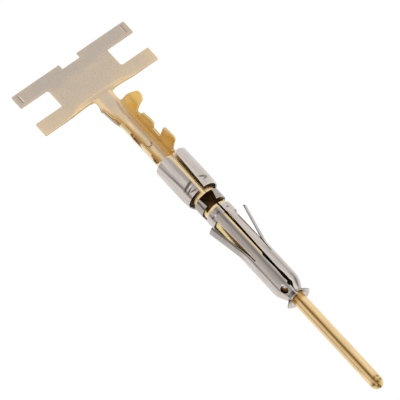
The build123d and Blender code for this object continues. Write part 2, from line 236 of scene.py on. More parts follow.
@dataclass
class WallBuilder:
    """Turns a sheet grid into a closed wall with rounded rims.

    Args:
        thickness: wall thickness.
        rim: radius of the rounding along every cut edge.
        glow: distance from a cut edge over which the edge attribute fades.
        pole_at_end: true where the last column closes to one point.
        cut_edge, cut_shade: edge attribute, and added dullness, along the middle of a cut edge.
        batch: how many points are measured against the cut edges at once.
    """

    thickness: float
    rim: float
    glow: float = 0.25
    pole_at_end: bool = False
    cut_edge: float = 0.75
    cut_shade: float = 0.6
    batch: int = 1500

    def cut_edges(self, grid: SheetGrid, index: Array) -> Array:
        """Find the cut edges, each directed so that the sheet lies on its left.

        Args:
            grid: the formed sheet.
            index: vertex number of each grid point.

        Returns:
            Pairs of vertex numbers.
        """
        i, j = np.nonzero(grid.keep)
        padded = np.pad(grid.keep, 1)
        sides = (((0, -1), (0, 0), (1, 0)), ((1, 0), (1, 0), (1, 1)),
                 ((0, 1), (1, 1), (0, 1)), ((-1, 0), (0, 1), (0, 0)))
        found = []
        for (di, dj), start, end in sides:
            cut = ~padded[i + 1 + di, j + 1 + dj]
            if self.pole_at_end:
                cut &= i + di < grid.keep.shape[0]
            a = index[i[cut] + start[0], j[cut] + start[1]]
            b = index[i[cut] + end[0], j[cut] + end[1]]
            found.append(np.stack([a, b], 1))
        return np.concatenate(found)

    def build(self, grid: SheetGrid, name: str) -> bpy.types.Object:
        """Make the wall.

        Formula: each face is the middle surface moved half the thickness along its normal. The
        normal at a point is the sum of the cross products of the diagonals of the kept cells
        round it. Along a cut edge both faces stop a rim radius short, and five points per edge
        point run round from one face to the other on two quarter circles.

        Args:
            grid: the formed sheet.
            name: name of the object.

        Returns:
            The object, with the point attributes edge, tint and shade.
        """
        columns, rows = grid.points.shape[:2]
        index = np.arange(columns * rows).reshape(columns, rows)
        middle = grid.points.reshape(-1, 3)
        relief = grid.relief.reshape(-1, 2)
        i, j = np.nonzero(grid.keep)
        cells = np.stack([index[i, j], index[i + 1, j], index[i + 1, j + 1], index[i, j + 1]], 1)
        normal = self.normals(middle, cells, index)
        edges = self.cut_edges(grid, index)
        run = unit(middle[edges[:, 1]] - middle[edges[:, 0]])
        away = np.zeros_like(middle)
        for end in range(2):
            np.add.at(away, edges[:, end], np.cross(run, normal[edges[:, end]]))
        away = unit(away)
        if self.pole_at_end:
            away[index[-1]] = 0
        half = self.thickness / 2
        rise, fall = half + relief[:, :1], half + relief[:, 1:]
        pulled = middle - away * self.rim
        upper, lower = pulled + normal * rise, pulled - normal * fall
        upper_normal = self.normals(middle + normal * rise, cells, index)
        lower_normal = self.normals(middle - normal * fall, cells, index)
        border = np.unique(edges)
        order = np.zeros(len(middle), int)
        order[border] = np.arange(len(border))
        out, side = normal[border], away[border]
        diagonal = math.sqrt(0.5)
        near = self.rim * (1 - diagonal)
        ring = [
            (middle[border] + out * (rise[border] - near) - side * near, unit(out + side)),
            (middle[border] + out * (rise[border] - self.rim), side),
            (middle[border] + out * (rise[border] - fall[border]) / 2, side),
            (middle[border] - out * (fall[border] - self.rim), side),
            (middle[border] - out * (fall[border] - near) - side * near, unit(side - out)),
        ]
        count = len(middle)
        around = [2 * count + k * len(border) + order[edges] for k in range(len(ring))]
        levels = [edges, *around, edges + count]
        quads = [cells, cells[:, ::-1] + count]
        for top, bottom in zip(levels, levels[1:]):
            quads.append(np.stack([top[:, 1], top[:, 0], bottom[:, 0], bottom[:, 1]], 1))
        quads = np.concatenate(quads)
        vertices = np.concatenate([upper, lower] + [place for place, _ in ring])
        normals = np.concatenate([upper_normal, -lower_normal] + [turn for _, turn in ring])
        close = self.nearness(middle, middle[border], np.unique(cells))
        sharp = np.repeat([1.0, 1.0, self.cut_edge, 1.0, 1.0], len(border))
        values = {"edge": np.concatenate([close, close, sharp])}
        for key, both, more in (("tint", grid.tint, 0.0), ("shade", grid.shade, self.cut_shade)):
            top, bottom = both.reshape(-1, 2).T
            high, low = top[border], bottom[border]
            halfway = np.minimum((high + low) / 2 + more, 1.0)
            values[key] = np.concatenate([top, bottom, high, high, halfway, low, low])
        return mesh_object(name, vertices, quads, normals, values)

    def normals(self, points: Array, cells: Array, index: Array) -> Array:
        """Average the normals of the kept cells round each point, and make them one at a pole.

        Args:
            points: all grid points.
            cells: four point numbers per kept cell.
            index: number of each grid point.

        Returns:
            One unit normal per grid point.
        """
        one, other = (points[cells[:, far]] - points[cells[:, near]] for near, far in ((0, 2), (1, 3)))
        across = np.cross(one, other)
        normal = np.zeros_like(points)
        for corner in range(4):
            np.add.at(normal, cells[:, corner], across)
        normal = unit(normal)
        if self.pole_at_end:
            normal[index[-1]] = unit(normal[index[-1]].mean(0, keepdims=True))
        return normal

    def nearness(self, points: Array, border: Array, used: Array) -> Array:
        """Tell how near each point is to a cut edge: 1 on it, falling to 0 at the glow distance.

        Args:
            points: all grid points.
            border: the points on cut edges.
            used: numbers of the points that the sheet has.

        Returns:
            One share per grid point.
        """
        close = np.zeros(len(points))
        for part in np.array_split(used, max(1, len(used) // self.batch)):
            gap = np.linalg.norm(points[part, None] - border[None], axis=-1).min(1)
            close[part] = 1 - np.clip(gap / self.glow, 0, 1)
        return close


def mesh_object(name: str, vertices: Array, quads: Array, normals: Array,
                values: dict[str, Array]) -> bpy.types.Object:
    """Put arrays into a mesh, close its seams and give it its normals.

    Args:
        name: name of the object.
        vertices: points in millimetres.
        quads: four vertex numbers per face.
        normals: one shading normal per vertex.
        values: point attributes by name.

    Returns:
        The object, linked to the scene, at the origin.
    """
    used, place = np.unique(quads, return_inverse=True)
    mesh = bpy.data.meshes.new(name)
    mesh.from_pydata((vertices[used] * MM).tolist(), [], place.reshape(quads.shape).tolist())
    for key, value in values.items():
        mesh.attributes.new(key, "FLOAT", "POINT").data.foreach_set("value", value[used].astype(np.float32))
    turn = mesh.attributes.new("turn", "FLOAT_VECTOR", "POINT")
    turn.data.foreach_set("vector", normals[used].astype(np.float32).ravel())
    work = bmesh.new()
    work.from_mesh(mesh)
    bmesh.ops.remove_doubles(work, verts=work.verts, dist=1e-7)
    bmesh.ops.dissolve_degenerate(work, edges=work.edges, dist=1e-8)
    work.to_mesh(mesh)
    work.free()
    mesh.shade_smooth()
    turned = np.zeros(len(mesh.vertices) * 3, np.float32)
    mesh.attributes["turn"].data.foreach_get("vector", turned)
    mesh.normals_split_custom_set_from_vertices(turned.reshape(-1, 3))
    mesh.attributes.remove(mesh.attributes["turn"])
    made = bpy.data.objects.new(name, mesh)
    bpy.context.scene.collection.objects.link(made)
    return made


def bent_strip(across: Array, radius: Array, half_angle: Array, level: Array) -> tuple[Array, Array]:
    """Bend a flat strip into a round floor with straight legs.

    Formula: up to radius times half angle from the middle the strip follows a circle that stands
    on the level; past that it goes straight on.

    Args:
        across: distance from the strip's middle line, measured along the sheet, + towards +Y.
        radius: radius of the floor.
        half_angle: half of the floor's arc, in radians.
        level: height of the middle line.

    Returns:
        Y and Z of the strip.
    """
    reach = np.abs(across)
    turn = np.minimum(reach / radius, half_angle)
    leg = reach - turn * radius
    y = radius * np.sin(turn) + leg * np.cos(half_angle)
    z = level + radius * (1 - np.cos(turn)) + leg * np.sin(half_angle)
    return np.sign(across) * y, z


@dataclass
class StripLayout:
    """Rows of the contact's sheet: the ones of the rolled strip, and the ones beside it.

    Args:
        strip_cells: cells across the strip that becomes the floor, tube and pin.
        side_rows: rows on each side for the arms of the tab and for the wings.
    """

    strip_cells: int = 100
    side_rows: int = 30

    @property
    def strip(self) -> Array:
        """Rows of the strip as shares of its half width, from -1 to 1."""
        return np.linspace(-1, 1, self.strip_cells + 1)

    @property
    def side(self) -> Array:
        """Rows beside the strip as shares, from just above 0 to 1."""
        return np.linspace(0, 1, self.side_rows + 1)[1:]

    def side_cells(self, right: bool) -> slice:
        """Cells beside the strip, on the +Y side if right."""
        return slice(-self.side_rows, None) if right else slice(0, self.side_rows)


@dataclass
class CarrierTab:
    """Flat tab with two pairs of arms, that ramps up to the neck at its middle.

    Args:
        front, rear: where the tab ends in X.
        half_width, core_half_width: half of the width over the arms and of the core.
        front_bar, rear_bar: widths of the arms in X.
        notch_half_width, notch_depth: shallow notch in the rear edge.
        level: height of the middle of the sheet.
        rise: how far the neck lies above the tab.
        ramp_run: length of the ramp at its middle.
        root_half_width: half of the neck's width where its fillets start.
        bend: distance from the middle and X of points along the bend line.
        bend_width, bend_ease: how softly the sheet bends there, and how softly the line turns.
        bend_marks, bend_columns: X of grid lines round the ramp, and start, end and gap of more.
        inner_corner, outer_corner: corner radii of the punched outline.
        nick_inset, nick_half_width, nick_depth: the coined lines near the ends of the rear arms.
        nick_rear, nick_front: spans over which a line starts and ends, from the arm's two sides.
        nick_shade: painted shade in its groove.
        flank_inset, flank_half_width, flank_shine: the painted highlight on the flank beside it.
        step: widest gap between columns.
    """

    front: float = -22.85
    rear: float = -27.11
    half_width: float = 5.36
    core_half_width: float = 2.82
    front_bar: float = 1.26
    rear_bar: float = 1.21
    notch_half_width: float = 0.859
    notch_depth: float = 0.46
    level: float = -1.54
    rise: float = 0.34
    ramp_run: float = 0.62
    root_half_width: float = 1.145
    bend: Table = ((0, -23.29), (1.6, -23.26), (2.2, -23.17), (2.7, -22.99), (3.1, -22.84), (6, -22.80))
    bend_width: float = 0.035
    bend_ease: float = 0.2
    bend_marks: Span = (-23.5, -23.15)
    bend_columns: tuple[float, float, float] = (-23.45, -22.9, 0.05)
    inner_corner: float = 0.16
    outer_corner: float = 0.08
    nick_inset: float = 0.42
    nick_half_width: float = 0.035
    nick_depth: float = 0.05
    nick_rear: Span = (0.1, 0.2)
    nick_front: Span = (-0.3, -0.18)
    nick_shade: float = 0.95
    flank_inset: float = 0.1
    flank_half_width: float = 0.045
    flank_shine: float = 0.8
    step: float = 0.13

    def height(self, x: Array, y: Array) -> Array:
        """Height of the sheet's middle.

        Formula: level plus slope times (ramp of the distance past the bend line, less the same
        ramp started a ramp's run later), so the rise stops at the neck's level.

        Args:
            x, y: places on the tab or neck.

        Returns:
            Z at those places.
        """
        past = self.past_bend(x, np.abs(y))
        slope = self.rise / self.ramp_run
        climb = soft_ramp(past, self.bend_width) - soft_ramp(past - self.ramp_run, self.bend_width)
        return self.level + slope * climb

    def past_bend(self, x: Array, reach: Array) -> Array:
        """Distance in X past the bend line, at this reach from the middle line."""
        return x - eased_line(reach, self.bend, self.bend_ease)

    def side_lines(self, layout: StripLayout) -> Array:
        """Rows from the neck's root out to the end of an arm.

        Args:
            layout: rows of the sheet.

        Returns:
            Distances from the middle line, as many as the layout has rows beside the strip.
        """
        core, corner = self.core_half_width, self.inner_corner
        nick, end, outer = self.half_width - self.nick_inset, self.half_width, self.outer_corner
        marks = [self.root_half_width, core, core + corner / 2, core + corner, nick - 0.05, nick - 0.02,
                 nick + 0.02, nick + 0.05, end - outer, end - outer / 2, end]
        spare = layout.side_rows - (len(marks) - 1)
        inner = np.linspace(marks[0], marks[1], spare // 2 + 2)[1:-1]
        outer = np.linspace(marks[3], marks[4], spare - spare // 2 + 2)[1:-1]
        return np.sort(np.concatenate([marks[1:], inner, outer]))

    def round_inner(self, plan: Array, corner: tuple[float, float], toward: tuple[float, float]) -> None:
        """Fill a re-entrant corner in place: the square beside it shrinks onto the fillet.

        Formula: with m the larger and t the ratio of the two local coordinates, a point goes to
        m (1 - sin(45 t), 1 - cos(45 t)) in degrees, the larger coordinate first.

        Args:
            plan: X and Y of the grid points.
            corner: place of the sharp corner.
            toward: signs of the directions into the open space.
        """
        radius = self.inner_corner
        local = (plan - corner) * toward / radius
        inside = in_square(local)
        large, small = local.max(-1), local.min(-1)
        angle = math.pi / 4 * np.divide(small, large, out=np.zeros_like(large), where=large > ROUND_OFF)
        first, second = large * (1 - np.sin(angle)), large * (1 - np.cos(angle))
        swap = local[..., 1] > local[..., 0]
        shrunk = np.where(swap[..., None], np.stack([second, first], -1), np.stack([first, second], -1))
        plan[inside] = (corner + shrunk * radius * np.array(toward))[inside]

    def grid(self, layout: StripLayout) -> SheetGrid:
        """Lay out the tab.

        Args:
            layout: rows of the sheet.

        Returns:
            The tab's grid, whose last column is the front edge and the neck's root.
        """
        corner, outer = self.inner_corner, self.outer_corner
        front_slot, rear_slot = self.front - self.front_bar, self.rear + self.rear_bar
        ends = ((self.rear, 1), (rear_slot, -1), (front_slot, 1), (self.front, -1))
        marks = [self.rear + self.notch_depth, rear_slot + corner / 2, rear_slot + corner,
                 front_slot - corner, front_slot - corner / 2, *self.bend_marks]
        for end, inward in ends:
            marks += [end, end + inward * outer / 2, end + inward * outer]
        x = np.concatenate([lines_through(marks, self.step), np.arange(*self.bend_columns)])
        x = np.unique(np.round(x, 4))
        sides = self.side_lines(layout)
        y = np.concatenate([-sides[::-1], layout.strip * self.root_half_width, sides])
        plan = np.stack(np.meshgrid(x, y, indexing="ij"), -1)
        cx, cy = (x[1:] + x[:-1])[:, None] / 2, np.abs(y[1:] + y[:-1])[None] / 2
        core = cy < self.core_half_width
        bars = (cx > front_slot) | (cx < rear_slot)
        notch = (cx < self.rear + self.notch_depth) & (cy < self.notch_half_width - 0.01)
        near_core = cy < self.core_half_width + corner
        fillets = near_core & ((cx < rear_slot + corner) | (cx > front_slot - corner))
        keep = (core | bars | fillets) & ~notch
        for side in (-1, 1):
            for end, inward in ends:
                self.round_bar_end(plan, end, inward, side * self.half_width)
            self.round_inner(plan, (rear_slot, side * self.core_half_width), (1, side))
            self.round_inner(plan, (front_slot, side * self.core_half_width), (-1, side))
        x_all, reach = plan[..., 0], np.abs(plan[..., 1])
        points = np.concatenate([plan, self.height(x_all, plan[..., 1])[..., None]], -1)
        # Painted shade in the coined line, and a painted highlight on its flank drawn as thinner plating.
        nick_row = self.half_width - self.nick_inset
        along = plateau(x_all, [self.rear + part for part in self.nick_rear],
                        [rear_slot + part for part in self.nick_front])
        nick = bump(reach, nick_row, self.nick_half_width) * along
        flank = bump(reach, nick_row - self.flank_inset, self.flank_half_width) * along
        tint = self.plating(x_all, reach) - self.flank_shine * flank
        return SheetGrid(points, keep, faces(-self.nick_depth * nick), faces(tint, tint),
                         faces(self.nick_shade * nick))

    def plating(self, x: Array, reach: Array) -> Array:
        """Plating: thin, thicker to the front and on the arms' ends; painted highlights on the ramp and
        bend.

        Args:
            x: places along the axis.
            reach: distances from the middle line.

        Returns:
            Share at each point.
        """
        past = self.past_bend(x, reach)
        # The current of the bath was highest at the ends of the front arms.
        arm_ends = smooth_share(reach, 4.2, 5.2) * (x > self.front - self.front_bar - 0.1)
        # Painted highlights: the ramp beside the neck, and a warm bright line where the sheet bends up.
        ramp = smooth_share(past, 0.0, 0.1) * smooth_share(reach, 0.6, 1.6) * (reach < 2.8)
        crease = bump(past, -0.02, 0.06) * (reach < 3.3)
        toward_front = 0.12 * smooth_share(x, -26.2, -25.2) + 0.1 * smooth_share(x, -24.2, -23.2)
        return 0.02 + toward_front + 0.12 * arm_ends + 0.25 * ramp + 0.28 * crease

    def round_bar_end(self, plan: Array, end: float, inward: int, y: float) -> None:
        """Round one corner of an arm's end: a square maps onto a disc, x becomes x sqrt(1 - y^2/2).

        Args:
            plan: X and Y of the grid points.
            end: X of the arm's side.
            inward: sign of the way in X from there into the arm.
            y: Y of the arm's end.
        """
        outward = np.array([-inward, np.sign(y)])
        centre = np.array([end, y]) - outward * self.outer_corner
        local = (plan - centre) * outward / self.outer_corner
        disc = local * np.sqrt(np.clip(1 - local[..., ::-1] ** 2 / 2, 0, 1))
        inside = in_square(local)
        plan[inside] = (centre + disc * self.outer_corner * outward)[inside]


@dataclass(frozen=True)
class Wing:
    """One crimp wing in side view.

    Args:
        rear, front: where its foot starts and ends in X.
        right: true on the +Y side.
        top: pairs of X and distance up the leg, from the rear to the front.
        lean: how far its front edge leans back at the top.
        flare: degrees that its upper part bends outwards.
    """

    rear: float
    front: float
    right: bool
    top: Table
    lean: float = 0.07
    flare: float = 0.0


def wing_pair(rear: float, front: float, top: Table, stagger: float = 0.0,
              flare: float = 0.0) -> tuple[Wing, Wing]:
    """Two facing wings, the one on the -Y side a stagger nearer the tab.

    Args:
        rear, front: where the foot on the +Y side starts and ends.
        top: the outline of its top.
        stagger: how much further back the other one stands.
        flare: degrees that the one on the +Y side bends outwards.

    Returns:
        The wing on the +Y side, then the other one.
    """
    moved = tuple((x - stagger, up) for x, up in top)
    return Wing(rear, front, True, top, flare=flare), Wing(rear - stagger, front - stagger, False, moved)


@dataclass
class CrimpBarrel:
    """Neck and open channel with the insulation, middle and wire wings.

    Args:
        rear, front: where the neck starts and the channel ends.
        low_wall: height of the channel's plain wall, along its leg.
        radius, half_angle, reach: floor radius, half arc in degrees, and half width of the flat
            sheet, each for the -Y and the +Y side as pairs of X and value.
        flare_start: how far above the low wall a wing begins to bend outwards.
        root_fillet: radius of the fillets where the neck leaves the tab.
        near_shade: painted shade on the cut edge on the -Y side, as pairs of X and share.
        ease: half width over which the corners of all these lines are eased.
        wing_thinning, wing_height: how much a wing's faces fall in over its height.
        mark_place, mark_radius, mark_depth: the locating mark in the floor.
        wings: the six wings.
    """

    rear: float = -22.85
    front: float = -15.25
    low_wall: float = 0.43
    radius: tuple[Table, ...] = (
        ((-22.9, 30), (-22.35, 7), (-22.04, 3.2), (-21.65, 1.8), (-21.26, 1.2), (-20.4, 1.1), (-19.8, 1.0),
         (-19.39, 0.75), (-15.0, 0.75)),
        ((-22.9, 30), (-22.35, 7), (-22.04, 3.2), (-21.65, 1.6), (-21.5, 1.4), (-21.2, 0.75), (-15.0, 0.75)))
    half_angle: tuple[Table, ...] = (
        ((-22.9, 0.8), (-22.35, 3), (-22.04, 8), (-21.65, 35), (-21.26, 71), (-19.74, 71), (-19.39, 76),
         (-15.0, 76)),
        ((-22.9, 0.8), (-22.35, 3), (-22.04, 8), (-21.65, 24), (-21.5, 31), (-21.2, 62), (-19.74, 62),
         (-19.39, 76), (-15.0, 76)))
    reach: tuple[Table, ...] = (
        ((-22.9, 0.845), (-22.2, 0.845), (-21.65, 1.12), (-21.26, 1.487), (-20.4, 1.423), (-19.8, 1.37),
         (-19.39, 1.4249), (-15.0, 1.4249)),
        ((-22.9, 0.845), (-22.5, 0.75), (-21.8, 0.72), (-21.45, 0.80), (-21.14, 1.1), (-21.0, 1.2416),
         (-19.74, 1.2416), (-19.39, 1.4249), (-15.0, 1.4249)))
    flare_start: float = 0.5
    root_fillet: float = 0.30
    near_shade: Table = ((-22.2, 0), (-21.9, 0.78), (-21.35, 0.78), (-21.25, 0.3), (-21.1, 0.8),
                        (-19.75, 0.8), (-19.6, 0.5), (-19.5, 0), (-18.1, 0), (-18.0, 0.8), (-17.5, 0.7),
                        (-17.0, 0.35), (-16.7, 0), (-15.5, 0), (-15.4, 0.75), (-15.2, 0.3))
    ease: float = 0.12
    wing_thinning: float = 0.04
    wing_height: float = 1.2
    mark_place: float = -17.32
    mark_radius: float = 0.24
    mark_depth: float = 0.03
    wings: tuple[Wing, ...] = field(default_factory=lambda: (
        Wing(-21.42, -19.74, True, ((-21.42, 0.45), (-21.2, 0.92), (-20.64, 1.67), (-20.51, 1.73),
                                    (-20.30, 1.76), (-20.09, 1.73), (-19.95, 1.67), (-19.83, 1.54),
                                    (-19.74, 1.48)), 0.13, 17),
        Wing(-21.30, -19.60, False, ((-21.30, 0.6), (-21.16, 0.80), (-20.58, 1.71), (-20.45, 1.78),
                                     (-20.24, 1.81), (-20.05, 1.78), (-19.85, 1.71), (-19.70, 1.55),
                                     (-19.60, 1.47))),
        *wing_pair(-19.18, -17.74, ((-19.18, 0.66), (-19.12, 0.78), (-19.02, 0.83), (-18.0, 0.97),
                                    (-17.86, 0.93), (-17.77, 0.80), (-17.74, 0.72)), 0.35),
        *wing_pair(-16.89, -15.45, ((-16.89, 1.38), (-16.80, 1.50), (-16.68, 1.55), (-15.70, 1.60),
                                    (-15.56, 1.56), (-15.48, 1.44), (-15.45, 1.34)), 0.0, 6)))

    def section(self, x: Array, side: int) -> tuple[Array, Array]:
        """Floor radius and half arc in radians at x, on the -Y side for 0 and the +Y side for 1."""
        bend = 1 / eased_line(x, [(place, 1 / size) for place, size in self.radius[side]], self.ease)
        return bend, np.radians(eased_line(x, self.half_angle[side], self.ease))

    def half_width(self, x: Array, side: int) -> Array:
        """Half width of the flat sheet on one side, with a quarter circle fillet of the root added."""
        fillet = self.root_fillet
        left = np.clip(fillet - (x - self.rear), 0, fillet)
        return eased_line(x, self.reach[side], self.ease) + fillet - np.sqrt(fillet * fillet - left * left)

    def grid(self, layout: StripLayout, tab: CarrierTab) -> SheetGrid:
        """Lay out the barrel.

        Args:
            layout: rows of the sheet.
            tab: the tab, whose ramp sets the neck's height.

        Returns:
            The grid from the tab's front edge to the end of the channel.
        """
        marks = [self.rear, self.rear + 0.06, self.rear + 0.15, self.rear + 0.3, self.front]
        for wing in self.wings:
            marks += [wing.rear, wing.front] + [x for x, _ in wing.top[1:-1]]
        x = lines_through([m for m in marks if m <= self.front], 0.11)
        width = [self.half_width(x, side)[:, None] for side in (0, 1)]
        strip = np.where(layout.strip < 0, width[0], width[1]) * layout.strip
        beside, x_beside, flare = [], [], []
        keep = np.ones((len(x) - 1, layout.strip_cells + 2 * layout.side_rows), bool)
        middle_x = (x[1:] + x[:-1]) / 2
        for right in (False, True):
            up, shift, bent = np.full(len(x), 0.02), np.zeros(len(x)), np.zeros(len(x))
            present = np.zeros(len(x) - 1, bool)
            for wing in [w for w in self.wings if w.right == right]:
                on = (x > wing.rear - ON_LINE) & (x < wing.front + ON_LINE)
                up[on] = eased_line(x[on], wing.top, 0.02) - self.low_wall
                shift[on] = wing.lean * (x[on] - wing.rear) / (wing.front - wing.rear)
                bent[on] = math.radians(wing.flare)
                present |= (middle_x > wing.rear) & (middle_x < wing.front)
            share = layout.side
            beside.append(width[right] + up[:, None] * share)
            x_beside.append(x[:, None] - shift[:, None] * share)
            flare.append(bent[:, None])
            keep[:, layout.side_cells(right)] = present[:, None]
        across = np.concatenate([-beside[0][:, ::-1], strip, beside[1]], 1)
        x_all = np.concatenate([x_beside[0][:, ::-1], np.repeat(x[:, None], len(layout.strip), 1),
                                x_beside[1]], 1)
        sections = [self.section(x, side) for side in (0, 1)]
        on_left = across < 0
        radius, half_angle = (np.where(on_left, low[:, None], high[:, None])
                              for low, high in zip(*sections))
        wide, turned = np.where(on_left, width[0], width[1]), np.where(on_left, flare[0], flare[1])
        level = tab.height(x_all, np.zeros_like(x_all))
        y, z = bent_strip(across, radius, half_angle, level)
        past = soft_ramp(np.abs(across) - wide - self.flare_start, self.ease)
        y += np.sign(across) * past * (np.cos(half_angle - turned) - np.cos(half_angle))
        z -= past * (np.sin(half_angle) - np.sin(half_angle - turned))
        # Painted shade on the upper face, and along the -Y side's edge on the lower face.
        shade, near_edge_shade = self.shading(x_all, across, wide)
        thinned = -self.wing_thinning * np.clip((np.abs(across) - wide) / self.wing_height, 0, 1)
        tint = self.plating(x_all, across)
        upper = thinned - self.mark_depth * self.locating_mark(x_all, across)
        return SheetGrid(np.stack([x_all, y, z], -1), keep, faces(upper, thinned),
                         faces(tint, np.ones_like(tint)), faces(shade, near_edge_shade))

    def locating_mark(self, x: Array, across: Array) -> Array:
        """Hook shaped mark in the floor: the front half of a ring, as a share of its depth."""
        ring = bump(np.hypot(x - self.mark_place, across), self.mark_radius, 0.04)
        return ring * smooth_share(x, self.mark_place - 0.08, self.mark_place + 0.07)

    def plating(self, x: Array, across: Array) -> Array:
        """How thick the plating is: thin along the middle, thick towards the edges and on the wings.

        Args:
            x, across: places on the sheet.

        Returns:
            Share at each point.
        """
        # From the flat neck to the formed channel the thin middle gets wider and warmer.
        formed = smooth_share(x, -21.8, -20.8)
        outer = smooth_share(np.abs(across), 0.3 + 0.12 * formed, 0.75 + 0.3 * formed)
        tint = 0.2 + 0.1 * formed + (0.5 + 0.18 * formed) * outer
        # Two warm patches on the middle line, behind the middle wings and between the wire wings.
        bright = bump(across, -0.08, 0.17) * (0.32 * bump(x, -19.4, 0.6) + 0.2 * bump(x, -16.4, 0.4))
        # Far wings drawn warmer: the insulation wing most, the others hardly more than the wall.
        rich = smooth_share(across, 1.1, 1.5) * np.where(x < -19.5, 0.45, 0.08)
        return tint + bright * formed + rich

    def shading(self, x: Array, across: Array, wide: Array) -> tuple[Array, Array]:
        """Painted shade: bands along the floor, the locating mark, and the cut edge on the -Y side.

        Args:
            x, across: places on the sheet.
            wide: half width of the strip at each place.

        Returns:
            Shares for the upper and the lower face.
        """
        # Painted reflections: three dark bands along the curved floor; the main one runs in from the side.
        formed = smooth_share(x, -22.3, -21.3)
        middle = 0.32 + 0.25 * (1 - smooth_share(x, -22.0, -20.8))
        stripes = 0.38 * bump(across, middle, 0.13) + 0.22 * bump(across, 0.62, 0.12) * (x > -21)
        stripes += 0.14 * bump(across, -0.5, 0.12) * smooth_share(x, -20.5, -19.5)
        # Painted shade along a short line beside the locating mark, and in the mark's own groove.
        shade_line = 0.4 * bump(across, -0.3, 0.04) * bump(x, self.mark_place - 0.08, 0.3)
        # Painted shade on the cut edge and outer face of the -Y side's wings and in the gaps between them.
        dull = broken_line(x, self.near_shade) * smooth_share(-across - wide, -0.12, 0.0)
        upper = stripes * formed + shade_line + 0.95 * self.locating_mark(x, across) + dull * (x > -18.5)
        return np.clip(upper, 0, 1), dull


